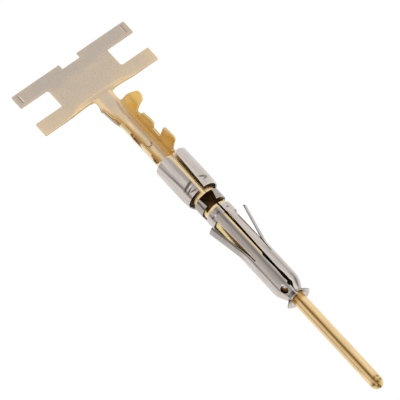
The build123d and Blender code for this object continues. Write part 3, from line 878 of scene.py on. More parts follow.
@dataclass
class RolledFront:
    """Throat, body tube, shoulder and hollow pin: the strip rolled up until its edges meet.

    Args:
        rear: where the channel ends and the throat starts.
        tube_rear, tube_front: ends of the body tube.
        nose_start: where the pin starts to round off.
        nose, nose_steps: length of the nose to the middle of its wall, and columns along it.
        radius, half_angle, level: section of the strip as pairs of X and value.
        reach_left, reach_right: half widths of the flat strip on the -Y and +Y sides.
        window: X range of the window under the sleeve's band, and its half angle in degrees.
        pits: X, degrees, distance from the axis and size of each pit and fold in the nose.
        pit_depth: how deep they are.
        pocket: painted shade on the wall behind the pocket in the sleeve.
        pocket_glint: painted highlight among them.
        seam_half_width: half width of the dull stripe along each edge of the seam.
        ease: half width over which the corners of the tables' lines are eased.
    """

    rear: float = -15.25
    tube_rear: float = -14.55
    tube_front: float = -1.50
    nose_start: float = 8.49
    nose: float = 0.46
    nose_steps: int = 18
    radius: Table = ((-15.25, 0.75), (-14.60, 0.83), (-1.50, 0.83), (-0.70, 0.43), (0, 0.41), (9, 0.41))
    half_angle: Table = ((-15.25, 76), (-14.60, 186), (-1.5, 186), (-0.7, 204), (9, 204))
    level: Table = ((-15.25, -1.20), (-14.60, -0.83), (-1.50, -0.83), (-0.70, -0.43), (0, -0.41),
                    (9, -0.41))
    reach_left: Table = ((-15.25, 1.4249), (-14.95, 1.75), (-14.60, 2.657), (-11.0, 2.60), (-9.4, 2.6375),
                         (-4.15, 2.6375), (-3.95, 2.50), (-1.5, 2.50), (-0.7, 1.205), (0, 1.149),
                         (9, 1.149))
    reach_right: Table = ((-15.25, 1.4249), (-14.95, 1.75), (-14.60, 2.55), (-11.0, 2.607), (-9.4, 2.45),
                          (-1.5, 2.45), (-0.7, 1.470), (0, 1.424), (9, 1.424))
    window: tuple[float, float, float] = (-10.58, -9.40, 62)
    pits: tuple[tuple[float, float, float, float], ...] = ((8.30, -14, 0.41, 0.17), (8.65, -9, 0.39, 0.20),
                                                           (8.63, -51, 0.39, 0.15), (8.87, -30, 0.24, 0.16),
                                                           (8.61, 27, 0.40, 0.11), (8.32, 24, 0.41, 0.09),
                                                           (8.58, -72, 0.40, 0.09))
    pit_depth: float = 0.03
    pocket: tuple[Mark, Mark] = (Mark(2.2, -1.05, 0.5, -52, 20), Mark(2.2, -1.0, 0.5, -32, 22))
    pocket_glint: Mark = Mark(1, -1.18, 0.09, -31, 8)
    seam_half_width: float = 0.105
    ease: float = 0.1

    def columns(self) -> tuple[Array, Array]:
        """Place the columns along X.

        Formula for the nose: an ellipse of half axes nose and the pin's radius, so the section
        shrinks with the cosine while X moves on with the sine.

        Returns:
            Places of the columns, and the size of the section at each as a share of the full one.
        """
        start, end, _ = self.window
        # Each run is its widest gap, and the places that a line has to pass through.
        runs = ((0.07, self.rear, self.tube_rear), (0.13, self.tube_rear, start, end),
                (0.3, end, -4.2, -3.9, self.tube_front - 0.3), (0.06, self.tube_front - 0.3, 0),
                (0.14, 0, 8.1), (0.035, 8.1, self.nose_start))
        x = np.unique(np.concatenate([lines_through(places, step) for step, *places in runs]))
        turn = np.linspace(0, math.pi / 2, self.nose_steps + 1)[1:]
        size = np.append(np.ones(len(x)), np.cos(turn))
        return np.append(x, self.nose_start + self.nose * np.sin(turn)), size

    def grid(self, layout: StripLayout) -> SheetGrid:
        """Lay out the rolled front.

        Args:
            layout: rows of the sheet.

        Returns:
            The grid from the end of the channel to the pole at the pin's tip.
        """
        x, size = self.columns()
        level, left, right = (eased_line(x, table, self.ease)[:, None] * size[:, None]
                              for table in (self.level, self.reach_left, self.reach_right))
        radius = np.maximum(eased_line(x, self.radius, self.ease) * size, 1e-7)[:, None]
        half_angle = np.radians(eased_line(x, self.half_angle, self.ease))[:, None]
        share = layout.strip
        pad = [(0, 0), (layout.side_rows, layout.side_rows)]
        across = np.pad(np.where(share < 0, left * share, right * share), pad, mode="edge")
        y, z = bent_strip(across, radius, half_angle, level)
        x_all = np.repeat(x[:, None], across.shape[1], 1)
        keep = np.zeros((len(x) - 1, across.shape[1] - 1), bool)
        keep[:, layout.side_rows:-layout.side_rows] = True
        start, end, half = self.window
        up = np.degrees(np.abs(across) / radius)
        cell_up, cell_x = ((each[1:, 1:] + each[:-1, :-1]) / 2 for each in (up, x_all))
        keep &= ~((cell_x > start) & (cell_x < end) & (cell_up > 180 - half))
        pits = self.nose_pits(y, z, x_all)
        to_edge = np.where(across < 0, left, right) - np.abs(across)
        # Outside: dark marks with painted shade and painted highlights; inside: painted shade, 0.8 from the
        # throat on.
        tint, marks_and_shade = self.looks(x_all, np.degrees(np.arctan2(y, z)), to_edge, pits)
        inside = smooth_share(x_all, self.rear, self.tube_rear)
        return SheetGrid(np.stack([x_all, y, z], -1), keep,
                         faces(np.zeros_like(x_all), -self.pit_depth * pits),
                         faces(tint, tint), faces(0.8 * inside, marks_and_shade))

    def looks(self, x: Array, angle: Array, to_edge: Array, pits: Array) -> tuple[Array, Array]:
        """How thick the plating is and how dark the outside is, with painted shade and highlights.

        Args:
            x, angle: places along the axis, and round it in degrees.
            to_edge: distances from the strip's nearer edge, along the sheet.
            pits: how far each point lies in a pit of the nose.

        Returns:
            Shares for the tint and for the shade.
        """
        # On the pin: the seam, and a fainter painted reflection line beside it that fades before the nose.
        on_pin = smooth_share(x, -0.7, 0.1)
        seam = bump(to_edge, 0, self.seam_half_width) * on_pin
        line = bump(angle, -57, 10) * on_pin * (1 - smooth_share(x, 7.2, 7.9))
        # Seen through the slot of the skirt: painted shade and warmth on a strip in the sleeve's shadow.
        under_skirt = plateau(x, (-14.1, -12.8), (-11.3, -11.0)) * plateau(angle, (-4, 3), (50, 60))
        # Seen through the pocket: painted shade with one painted highlight.
        glint = self.pocket_glint.on(x, angle)
        pocket = np.minimum(0.95, np.maximum(*(mark.on(x, angle) for mark in self.pocket)))
        # Painted shade through the slot's front and keyhole; painted warm shade on the pin's root in the
        # lip.
        slot_end = plateau(x, (-3.95, -3.85), (-0.85, -0.7)) * bump(angle, 6, 20)
        root = 0.42 * plateau(x, (-0.9, -0.7), (0.12, 0.36))
        # Painted highlight: a pale patch where the channel closes to the tube.
        throat = bump(x, -14.4, 0.25) * (angle > -10)
        tint = 0.62 + 0.28 * plateau(x, (-9.4, -9.0), (-1.6, -1.4)) + 1.6 * root + 0.5 * under_skirt
        tint = tint + 0.6 * np.maximum(seam, pits) - 1.5 * glint - 0.5 * throat
        marked = np.maximum(np.maximum(0.82 * seam, 0.4 * line), 0.95 * pits)
        marks_and_shade = marked + 0.12 * under_skirt + pocket * (1 - glint) + slot_end + root * (1 - seam)
        return tint, np.clip(marks_and_shade, 0, 1)

    def nose_pits(self, y: Array, z: Array, x: Array) -> Array:
        """Pits and folds where the pin's nose is closed, as a share of their full depth.

        Formula: the largest of the bells round each pit, by straight distance from its middle on the
        outside of the wall, and a shallow ring where the nose starts.

        Args:
            y, z, x: places on the middle of the wall.

        Returns:
            Share at each point.
        """
        depth = 0.25 * bump(x, 8.40, 0.05)
        for place, angle, out, size in self.pits:
            turn = math.radians(angle)
            across, up = y - out * math.sin(turn), z - out * math.cos(turn)
            gap = np.sqrt((x - place) ** 2 + across ** 2 + up ** 2)
            depth = np.maximum(depth, bump(gap, 0, size))
        return depth * (x > 8)


@dataclass
class StampedContact:
    """The whole contact: one sheet, stamped, formed and rolled.

    Args:
        layout: rows of the sheet.
        tab, barrel, front: its three stretches.
        wall: sheet thickness and rims.
    """

    layout: StripLayout = field(default_factory=StripLayout)
    tab: CarrierTab = field(default_factory=CarrierTab)
    barrel: CrimpBarrel = field(default_factory=CrimpBarrel)
    front: RolledFront = field(default_factory=RolledFront)
    wall: WallBuilder = field(default_factory=lambda: WallBuilder(0.20, 0.03, 0.35, True))

    def build(self) -> bpy.types.Object:
        """Make the contact's wall."""
        grid = SheetGrid.chain([self.tab.grid(self.layout), self.barrel.grid(self.layout, self.tab),
                                self.front.grid(self.layout)])
        return self.wall.build(grid, "contact_body_plated")

    def dress(self, piece: bpy.types.Object, finish: "GoldPlate") -> None:
        """Give the contact its finish and its place in the frame.

        Args:
            piece: the wall.
            finish: the plating.
        """
        piece.data.materials.append(finish.make())
        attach(piece, "root")
        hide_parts("contact_body")


@dataclass
class RetentionSleeve:
    """Stainless sleeve: one sheet rolled round the body, with a slot along its top.

    Args:
        wall: sheet thickness and rims.
        profile: radius of the middle of the wall, as pairs of X and radius, without the lip.
        ease: half width over which its corners are eased.
        skirt_rear, skirt_corner: where the wide end starts, and the radius of its corners.
        waist: X where the lip starts.
        lip_flare, lip_power: how far it stands out, as this power of the way along it.
        lip_set_back, left_set_back: how far its cut down part lies back, on the left times this.
        lip_cut: how much less that part stands out.
        tongue, right_fade: degrees over which the cut down part ends on the left and right.
        left_edge, right_edge: angles of the slot's two edges, as pairs of X and degrees.
        slits, slit_half_angle: X ranges of the two slits round the top, and how far they reach.
        window: X of the lance windows' rear and front ends.
        lance_tip, lance_root, lance_splay, lance_angle: X of the lances' ends, the angle that they
            stand off by, and the angle round the axis that they point to.
        lance_bend, lance_hold: how softly a lance bends, and the span of -X where it starts to.
        lance_shade: painted shade on the raised part.
        window_top, lance_top, lance_foot, window_foot: degrees of the edges round the lance.
        bands: rows between the slot's edge, these four edges, the slits' ends and the bottom.
        marks: X of further grid lines; shoulder: where the columns start to lie closer.
        columns: start, end and gap of still closer columns through the dents.
        holes: X, half length, degrees and half angle of the keyhole and of the pocket.
        notch: X and the two angles of the notch in the lip.
        flank_line: the painted dark reflection line along the left flank, as pairs of X and degrees.
        dents, dent_shade: the pressed marks, and how much painted shade they get for each millimetre.
        glints: painted highlights among them; shoulder_shade: a painted shade spot beside the keyhole.
    """

    wall: WallBuilder = field(default_factory=lambda: WallBuilder(0.12, 0.02, 0.18))
    profile: Table = ((-14.7, 1.34), (-11.6, 1.34), (-10.92, 1.28), (-10.50, 1.03), (-1.62, 1.03),
                      (-1.28, 1.00), (-0.95, 0.86), (-0.46, 0.62), (0.1, 0.62))
    ease: float = 0.09
    skirt_rear: float = -14.60
    skirt_corner: float = 0.34
    waist: float = -0.46
    lip_flare: float = 0.38
    lip_power: float = 1.6
    lip_set_back: float = 0.34
    left_set_back: float = 0.42
    lip_cut: float = 0.75
    tongue: Span = (62, 68)
    right_fade: Span = (15, 75)
    left_edge: Table = ((-14.6, -17), (-14.0, -15.2), (-10.92, -14.5), (-10.9, -20), (-10.51, -41),
                        (-9.66, -36.5), (-9.6, -2), (-9.14, -1), (-8.45, -1), (-8.36, -8.8), (-8, -8.7),
                        (-7, -7.8), (-4, -7.3), (-3.6, -6.7), (-2.5, -4.7), (-2.0, -6), (-1.6, -7),
                        (-1.3, -4.5), (-1.1, -8), (-0.9, -4), (-0.7, -2), (0.1, -1))
    right_edge: Table = ((-14.6, 12), (-13.9, 9.5), (-12.3, 5.7), (-10.92, 3.2), (-10.9, 6), (-10.51, 27),
                         (-9.66, 13), (-9.6, 8), (-9.14, 7), (-8.45, 8), (-8, 10.3), (-7, 8.6), (-3.5, 5),
                         (-2.5, 4.5), (-1.9, 7.2), (-1.5, 7.5), (-1.3, 8), (-1.08, 13), (-0.88, 9),
                         (-0.7, 3), (0.1, 3))
    slits: tuple[Span, ...] = ((-10.92, -10.50), (-9.66, -9.14))
    slit_half_angle: float = 118
    window: Span = (-8.33, -3.99)
    lance_tip: float = -8.05
    lance_root: float = -4.95
    lance_splay: float = 13.3
    lance_angle: float = 67
    lance_bend: float = 0.22
    lance_hold: Span = (3.99, 4.6)
    lance_shade: float = 0.3
    window_top: Table = ((-8.4, 49), (-3.99, 42), (0, 42))
    lance_top: Table = ((-8.4, 53), (-6, 52), (-4.95, 51), (-3.99, 48.5), (0, 48.5))
    lance_foot: Table = ((-8.4, 92), (-4.95, 90), (-3.99, 90), (0, 90))
    window_foot: Table = ((-8.4, 96), (-3.99, 92), (0, 92))
    bands: tuple[int, ...] = (18, 1, 12, 1, 7, 12)
    flank_line: Table = ((-14.6, -60.5), (-14.13, -59.5), (-13.31, -56.5), (-11.84, -50), (-10.52, -55),
                         (-1.49, -55.5), (0, -58))
    marks: tuple[float, ...] = (-8.45, -8.36, -1.3, -1.25, -0.85, -0.6)
    shoulder: float = -1.3
    columns: tuple[tuple[float, float, float], ...] = ((-11.9, -10.95, 0.03), (-8.82, -8.5, 0.03))
    holes: tuple[tuple[float, float, float, float], ...] = ((-1.09, 0.20, 1, 12), (-0.96, 0.30, -42, 17))
    notch: tuple[float, float, float] = (-0.33, -71, -62)
    dents: tuple[Mark, ...] = (
        Mark(-0.07, -11.736, 0.09, -36, 15, 0.004), Mark(-0.06, -11.392, 0.05, -42, 12, 0.004),
        Mark(-0.05, -11.182, 0.05, -32, 10, -0.006), Mark(-0.05, -11.68, 0.08, 24, 11, -0.008),
        Mark(-0.04, -11.462, 0.05, 28, 9, 0.006), Mark(-0.05, -8.71, 0.06, -22, 6),
        Mark(-0.05, -8.71, 0.06, -51, 6), Mark(-0.04, -8.7, 0.07, 26, 6), Mark(-0.04, -8.0, 0.1, 46, 5))
    dent_shade: float = 26
    glints: tuple[Mark, ...] = (Mark(1, -1.24, 0.09, -31, 5), Mark(1, -8.68, 0.06, -37, 4),
                                Mark(0.7, -11.55, 0.05, -28, 5))
    shoulder_shade: Mark = Mark(0.8, -0.95, 0.55, 33, 12)

    def row_angles(self, x: Array, side: int) -> Array:
        """Angles of the rows on one side, from the slot's edge to the bottom.

        Formula: between two neighbouring lines of the layout the rows are evenly spread.

        Args:
            x: places of the columns.
            side: 1 for +Y, -1 for -Y.

        Returns:
            Columns by rows of degrees, rising from the slot down, without their sign.
        """
        corner, skirt_radius = self.skirt_corner, self.profile[0][1]
        lead = np.clip(corner - (x - self.skirt_rear), 0, corner)
        rounding = np.degrees((corner - np.sqrt(corner ** 2 - lead ** 2)) / skirt_radius)
        lines = [broken_line(x, self.right_edge if side > 0 else self.left_edge) * side + rounding]
        for table, turned in ((self.window_top, 4), (self.lance_top, 4),
                              (self.lance_foot, 0), (self.window_foot, 0)):
            lines.append(broken_line(x, table) - turned * (side > 0))
        lines += [np.full(len(x), self.slit_half_angle), np.full(len(x), 180.0)]
        parts = []
        for near, far, cells in zip(lines, lines[1:], self.bands):
            share = np.arange(cells) / cells
            parts.append(near[:, None] * (1 - share) + far[:, None] * share)
        parts.append(lines[-1][:, None])
        return np.concatenate(parts, 1)

    def grid(self) -> SheetGrid:
        """Lay out the sleeve.

        Formula: a point at x and angle a is (x, r sin a, r cos a), moved along the middle
        direction of its lance by tan(splay) times a soft ramp of the way past the root.

        Returns:
            The grid, from the left edge of the slot round the bottom to the right edge.
        """
        marks = [self.skirt_rear, self.skirt_rear + 0.04, self.skirt_rear + 0.12, 0, self.lance_tip,
                 *self.window, *self.marks, *self.slits[0], *self.slits[1]]
        x = np.concatenate([lines_through([m for m in marks if m <= self.shoulder], 0.09),
                            lines_through([m for m in marks if m >= self.shoulder], 0.04)]
                           + [np.arange(*run) for run in self.columns])
        x = np.unique(np.round(x, 3))
        left, right = self.row_angles(x, -1), self.row_angles(x, 1)
        angle = np.concatenate([-left, right[:, ::-1][:, 1:] - 360], 1)
        x_all = np.repeat(x[:, None], angle.shape[1], 1)
        turn = np.radians(angle)
        away = (angle + 180) % 360 - 180
        on_lip = np.clip((x_all - self.waist) / -self.waist, 0, 1)
        tongue = (away < 0) * (1 - smooth_share(-away, *self.tongue))
        low = (away >= 0) * (1 - smooth_share(away, *self.right_fade)) + tongue
        set_back = self.lip_set_back * low * np.where(away < 0, self.left_set_back, 1.0)
        flare = self.lip_flare * on_lip ** self.lip_power * (1 - self.lip_cut * low)
        radius = eased_line(x_all, self.profile, self.ease) + flare
        y, z = radius * np.sin(turn), radius * np.cos(turn)
        keep = np.ones((len(x) - 1, angle.shape[1] - 1), bool)
        cell_x = (x[1:] + x[:-1]) / 2
        half = sum(self.bands)
        number = np.arange(2 * half)
        band_of = np.searchsorted(np.cumsum(self.bands), np.minimum(number, 2 * half - 1 - number), "right")
        for rear, front in self.slits:
            keep &= ~(((cell_x > rear) & (cell_x < front))[:, None] & (band_of < 5))
        in_window = (cell_x > self.window[0]) & (cell_x < self.window[1])
        gap = in_window[:, None] & ((band_of == 1) | (band_of == 3))
        end = (in_window & (cell_x < self.lance_tip))[:, None] & (band_of == 2)
        keep &= ~(gap | end)
        line = np.cumsum((0,) + self.bands)
        lift = math.tan(math.radians(self.lance_splay)) * soft_ramp(self.lance_root - x, self.lance_bend)
        lift *= (x > self.lance_tip - ON_LINE) * smooth_share(-x, *self.lance_hold)
        on_lance = np.zeros_like(x_all)
        for side, first, last in ((-1, line[2], line[3]), (1, 2 * half - line[3], 2 * half - line[2])):
            middle = math.radians(side * self.lance_angle)
            rows = slice(first, last + 1)
            y[:, rows] += lift[:, None] * math.sin(middle)
            z[:, rows] += lift[:, None] * math.cos(middle)
            on_lance[:, rows] = smooth_share(lift, 0.0, 0.1)[:, None]
        keep &= ~self.front_openings(x, angle)
        # Painted shade of reflections, lances, dents and lip; painted glints; painted shade on the inside
        # face.
        relief = sum(mark.on(x_all, away) for mark in self.dents)
        glint = sum(mark.on(x_all, away) for mark in self.glints)
        painted_shade = self.painted_reflections(x_all, away) + self.lance_shade * on_lance - self.dent_shade * relief
        painted_shade = np.clip(painted_shade, 0, 0.9) + self.lip_shade(x_all, away, tongue)
        inside_shade = 0.6 * plateau(x_all, (-11.0, -10.0), (-0.7, -0.35))
        shade = faces(np.clip(painted_shade * (1 - glint), 0, 1), inside_shade)
        points = np.stack([x_all - set_back * on_lip, y, z], -1)
        arrays = (points, keep, faces(relief), faces(glint), shade)
        return SheetGrid(*(each[:, ::-1] for each in arrays))

    def lip_shade(self, x: Array, angle: Array, tongue: Array) -> Array:
        """Painted shade on the lip and on the wall behind it.

        Args:
            x: place of each point.
            angle: degrees of each point, from -180 to 180.
            tongue: 1 on the lip's left tongue, fading to 0 beside it.

        Returns:
            Share from 0 to 1 at each point.
        """
        # Painted shade on the rear face of the left tongue, and on the two lobes of the lip beside it.
        face = plateau(x, (-0.62, -0.5), (-0.12, -0.04)) * (1 - smooth_share(np.abs(angle + 36), 20, 27))
        lobe = (1 - tongue) * np.where(angle < 0, 0.42, 0.32) * (np.abs(angle) < 115)
        return self.shoulder_shade.on(x, angle) + 0.42 * face + lobe * smooth_share(x, -0.45, -0.25)

    def front_openings(self, x: Array, angle: Array) -> Array:
        """Cells of the keyhole at the slot's end, the pocket beside it and the notch in the lip.

        Keyhole and pocket are ellipses in x and angle, the notch is a rectangle.

        Args:
            x: places of the columns.
            angle: degrees of the grid points.

        Returns:
            True where a cell is open.
        """
        cell_x = (x[1:] + x[:-1])[:, None] / 2
        cell_angle = (angle[1:, 1:] + angle[1:, :-1] + angle[:-1, 1:] + angle[:-1, :-1]) / 4
        rear, low, high = self.notch
        cut = (cell_x > rear) & (cell_angle > low) & (cell_angle < high)
        for place, length, middle, width in self.holes:
            cut |= ((cell_x - place) / length) ** 2 + ((cell_angle - middle) / width) ** 2 < 1
        return cut

    def painted_reflections(self, x: Array, angle: Array) -> Array:
        """Painted reflections: darker zones where the outside would mirror darker surroundings.

        Formula: a broad zone along the slot's left side, a narrow line along the left flank, and a
        duller band between the slits.

        Args:
            x: place of each point.
            angle: degrees of each point, from -180 to 180.

        Returns:
            Share from 0 to 1 at each point.
        """
        # The tube lies in front of the slits and the skirt behind them.
        on_tube = smooth_share(x, -9.7, -9.1)
        on_skirt = 1 - smooth_share(x, -10.95, -10.5)
        zone = 0.7 * on_tube * bump(angle, -18, 10) + 0.33 * on_tube * bump(angle, -35, 9)
        zone += 0.38 * on_skirt * bump(angle, -20, 9) + 0.34 * (1 - on_tube) * (1 - on_skirt)
        # A faint painted shade zone on the right, between the lance and the shoulder.
        zone += 0.3 * smooth_share(x, -5.5, -4) * bump(angle, 33, 9) * (x < -1.4)
        return zone + 0.62 * bump(angle - broken_line(x, self.flank_line), 0, 4)

    def build(self) -> bpy.types.Object:
        """Make the sleeve's wall."""
        return self.wall.build(self.grid(), "retention_sleeve_satin")

    def dress(self, piece: bpy.types.Object, finish: "SatinStainless") -> None:
        """Give the sleeve its finish and its place in the frame.

        Args:
            piece: the wall.
            finish: the steel.
        """
        piece.data.materials.append(finish.make())
        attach(piece, "root")
        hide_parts("retention_sleeve")


def add_node(tree: bpy.types.NodeTree, kind: str, settings: dict[str, object] | None = None,
             **inputs: object) -> bpy.types.Node:
    """Add a node with its settings, values and links.

    Args:
        tree: the node tree.
        kind: node type, without its ShaderNode prefix.
        settings: node properties by name; stops are the places and colours of a colour ramp.
        inputs: a value or an output socket for each input, by its name with spaces as underscores,
            or by its number as in0, in1.

    Returns:
        The node.
    """
    node = tree.nodes.new("ShaderNode" + kind)
    for key, value in (settings or {}).items():
        if key == "stops":
            for place, colour in value[1:-1]:
                node.color_ramp.elements.new(place)
            for stop, (place, colour) in zip(node.color_ramp.elements, value):
                stop.position, stop.color = place, colour
        else:
            setattr(node, key, value)
    for key, value in inputs.items():
        numbered = key[:2] == "in" and key[2:].isdigit()
        socket = node.inputs[int(key[2:]) if numbered else key.replace("_", " ")]
        if isinstance(value, bpy.types.NodeSocket):
            tree.links.new(value, socket)
        else:
            socket.default_value = value
    return node


def new_material(name: str) -> tuple[bpy.types.Material, bpy.types.NodeTree]:
    """Start an empty node material.

    Args:
        name: its name.

    Returns:
        The material and its cleared tree.
    """
    material = bpy.data.materials.new(name)
    material.use_nodes = True
    material.node_tree.nodes.clear()
    return material, material.node_tree


@dataclass(frozen=True)
class GoldPlate:
    """Gold flash over nickel on formed brass sheet, barrel plated after stamping.

    The plating is thin and greyish on the flat tab and on the channel's floor, and thick and warm
    on edges, wings, tube and pin, where the current was higher.

    Args:
        bare, thin, pale, full, rich: colours of ever thicker plating.
        rim: colour of a polished cut edge.
        dull, soot: colours of painted shade and dark seams, and of the darkest of them in pits and openings.
        roughness, spread: middle and half range of the roughness.
        grain, cloud, line: sizes in millimetres of the etched grain, of the clouds in the plating
            and of the drawing lines' width. The real grain and lines are near 0.02 mm, too fine to
            show, and are drawn five times as coarse.
        stretch: width of a drawing line as a share of its length, so they are 1.9 mm long.
        relief: height of the grain in millimetres.
    """

    bare: str = "#f4ece0"
    thin: str = "#c1b6ab"
    pale: str = "#f6d8a8"
    full: str = "#eed597"
    rich: str = "#f2c676"
    rim: str = "#ffefc8"
    dull: str = "#85531c"
    darkest_tone: str = "#2a1c10"
    roughness: float = 0.30
    spread: float = 0.06
    grain: float = 1 / 9
    cloud: float = 1 / 0.9
    line: float = 1 / 9
    stretch: float = 0.06
    relief: float = 0.02

    def make(self) -> bpy.types.Material:
        """Build the material."""
        material, tree = new_material("gold_plated_brass_stamped")
        node = partial(add_node, tree)
        place = node("TexCoord").outputs["Object"]
        tint, edge, shade = (node("Attribute", {"attribute_name": name}).outputs["Fac"]
                             for name in ("tint", "edge", "shade"))
        # Etched grain of the sheet: the fine salt and pepper that the eye sees on the flat tab.
        grain = node("TexNoise", Vector=place, Scale=1 / (self.grain * MM), Detail=3.0,
                     Roughness=0.6).outputs["Fac"]
        # Uneven current in the plating barrel: soft clouds of warmer and greyer metal.
        cloud = node("TexNoise", Vector=place, Scale=1 / (self.cloud * MM), Detail=2.0).outputs["Fac"]
        # The tint also holds painted highlights and painted warm reflections, drawn as other levels.
        level = tint
        for share, weight in ((edge, 0.08), (cloud, 0.2), (grain, 0.1)):
            level = node("Math", {"operation": "MULTIPLY_ADD"}, in0=share, in1=weight, in2=level).outputs[0]
        level = node("MapRange", Value=level, From_Min=-0.05, From_Max=1.55).outputs[0]
        # Thickness of the gold: from nickel grey that shines through to full warm yellow.
        colours = zip((0.0, 0.125, 0.5, 0.75, 1.0), (self.bare, self.thin, self.pale, self.full, self.rich))
        stops = tuple((stop, linear(colour)) for stop, colour in colours)
        plate = node("ValToRGB", {"stops": stops}, Fac=level).outputs[0]
        # Edges rubbed bright against other parts in the barrel: a thin pale outline, where plated thickly
        # and not under painted shade.
        shown = node("MapRange", Value=edge, From_Min=0.90, From_Max=1.0).outputs[0]
        coated = node("MapRange", Value=tint, To_Min=0.2, To_Max=0.6).outputs[0]
        unshaded = node("Math", {"operation": "SUBTRACT"}, in0=1.0, in1=shade).outputs[0]
        for share in (coated, unshaded):
            shown = node("Math", {"operation": "MULTIPLY"}, in0=shown, in1=share).outputs[0]
        # Painted shade and dark seams: brown in bands, grooves and openings, near black in pits and holes.
        deep = node("MapRange", Value=shade, From_Min=0.82, From_Max=1.0).outputs[0]
        colour = plate
        for share, layer in ((shown, self.rim), (shade, self.dull), (deep, self.darkest_tone)):
            colour = node("Mix", {"data_type": "RGBA"}, in0=share, in6=colour,
                          in7=linear(layer)).outputs[2]
        # Drawing lines of the rolled front: long fine streaks along the tube and the pin.
        drawn = node("Mapping", Vector=place, Scale=(self.stretch, 1.0, 1.0)).outputs[0]
        streak = node("TexNoise", Vector=drawn, Scale=1 / (self.line * MM), Detail=2.0).outputs["Fac"]
        rolled = node("MapRange", Value=tint, From_Min=0.45, From_Max=0.6).outputs[0]
        texture = node("Mix", {"data_type": "FLOAT"}, in0=rolled, in2=grain, in3=streak).outputs[0]
        value = node("MapRange", Value=texture, From_Min=0.3, From_Max=0.7, To_Min=0.88,
                     To_Max=1.06).outputs[0]
        mottled = node("VectorMath", {"operation": "SCALE"}, in0=colour, Scale=value).outputs[0]
        # The same texture breaks up the shine, and painted shade takes some of the metal's mirror away.
        rough = node("MapRange", Value=texture, To_Min=self.roughness - self.spread,
                     To_Max=self.roughness + self.spread).outputs[0]
        relief = node("Bump", Strength=0.15, Distance=self.relief * MM, Height=texture).outputs[0]
        metal = node("MapRange", Value=shade, To_Min=1.0, To_Max=0.7).outputs[0]
        shader = node("BsdfPrincipled", Base_Color=mottled, Metallic=metal, Roughness=rough, Normal=relief)
        node("OutputMaterial", Surface=shader.outputs[0])
        return material


@dataclass(frozen=True)
class SatinStainless:
    """Austenitic stainless strip, rolled bright and tumbled satin after forming.

    Args:
        body, dark: colours of the rolling lines.
        rim: colour of a polished edge or crease, and of the painted glints.
        dull: colour of painted shade and painted dark reflections.
        roughness, spread: middle and half range of the roughness.
        line, grain: sizes in millimetres of the rolling lines' width and of the tumbling marks.
            The real ones are near 0.03 mm and 0.01 mm, too fine to show, and are drawn coarser.
        stretch: width of a rolling line as a share of its length, so they are 1.6 mm long.
        relief: height of the tumbling marks in millimetres.
    """

    body: str = "#d7cec7"
    dark: str = "#c4bbb4"
    rim: str = "#f2efec"
    dull: str = "#4c443d"
    roughness: float = 0.26
    spread: float = 0.06
    line: float = 1 / 5.2
    grain: float = 1 / 11
    stretch: float = 0.12
    relief: float = 0.02

    def make(self) -> bpy.types.Material:
        """Build the material."""
        material, tree = new_material("stainless_steel_satin_tumbled")
        node = partial(add_node, tree)
        place = node("TexCoord").outputs["Object"]
        painted_glint, edge, shade = (node("Attribute", {"attribute_name": name}).outputs["Fac"]
                            for name in ("tint", "edge", "shade"))
        # Rolling lines of the strip: faint lighter and darker streaks along the sleeve.
        drawn = node("Mapping", Vector=place, Scale=(self.stretch, 1.0, 1.0)).outputs[0]
        streak = node("TexNoise", Vector=drawn, Scale=1 / (self.line * MM), Detail=3.0).outputs["Fac"]
        share = node("MapRange", Value=streak, From_Min=0.35, From_Max=0.65).outputs[0]
        # Edges and creases rubbed in the tumbler are brighter, as are painted glints; painted shade is
        # duller.
        rim = node("MapRange", Value=edge, From_Min=0.9, From_Max=1.0).outputs[0]
        sharp = node("Math", {"operation": "MAXIMUM"}, in0=rim, in1=painted_glint).outputs[0]
        colour = linear(self.dark)
        for part, layer in ((share, self.body), (sharp, self.rim), (shade, self.dull)):
            colour = node("Mix", {"data_type": "RGBA"}, in0=part, in6=colour,
                          in7=linear(layer)).outputs[2]
        # Tumbling marks: tiny dimples that turn the bright strip satin and soften its highlights.
        grain = node("TexNoise", Vector=place, Scale=1 / (self.grain * MM), Detail=2.0).outputs["Fac"]
        rough = node("MapRange", Value=grain, To_Min=self.roughness - self.spread,
                     To_Max=self.roughness + self.spread).outputs[0]
        relief = node("Bump", Strength=0.2, Distance=self.relief * MM, Height=grain).outputs[0]
        shader = node("BsdfPrincipled", Base_Color=colour, Metallic=1.0, Roughness=rough, Normal=relief)
        node("OutputMaterial", Surface=shader.outputs[0])
        return material


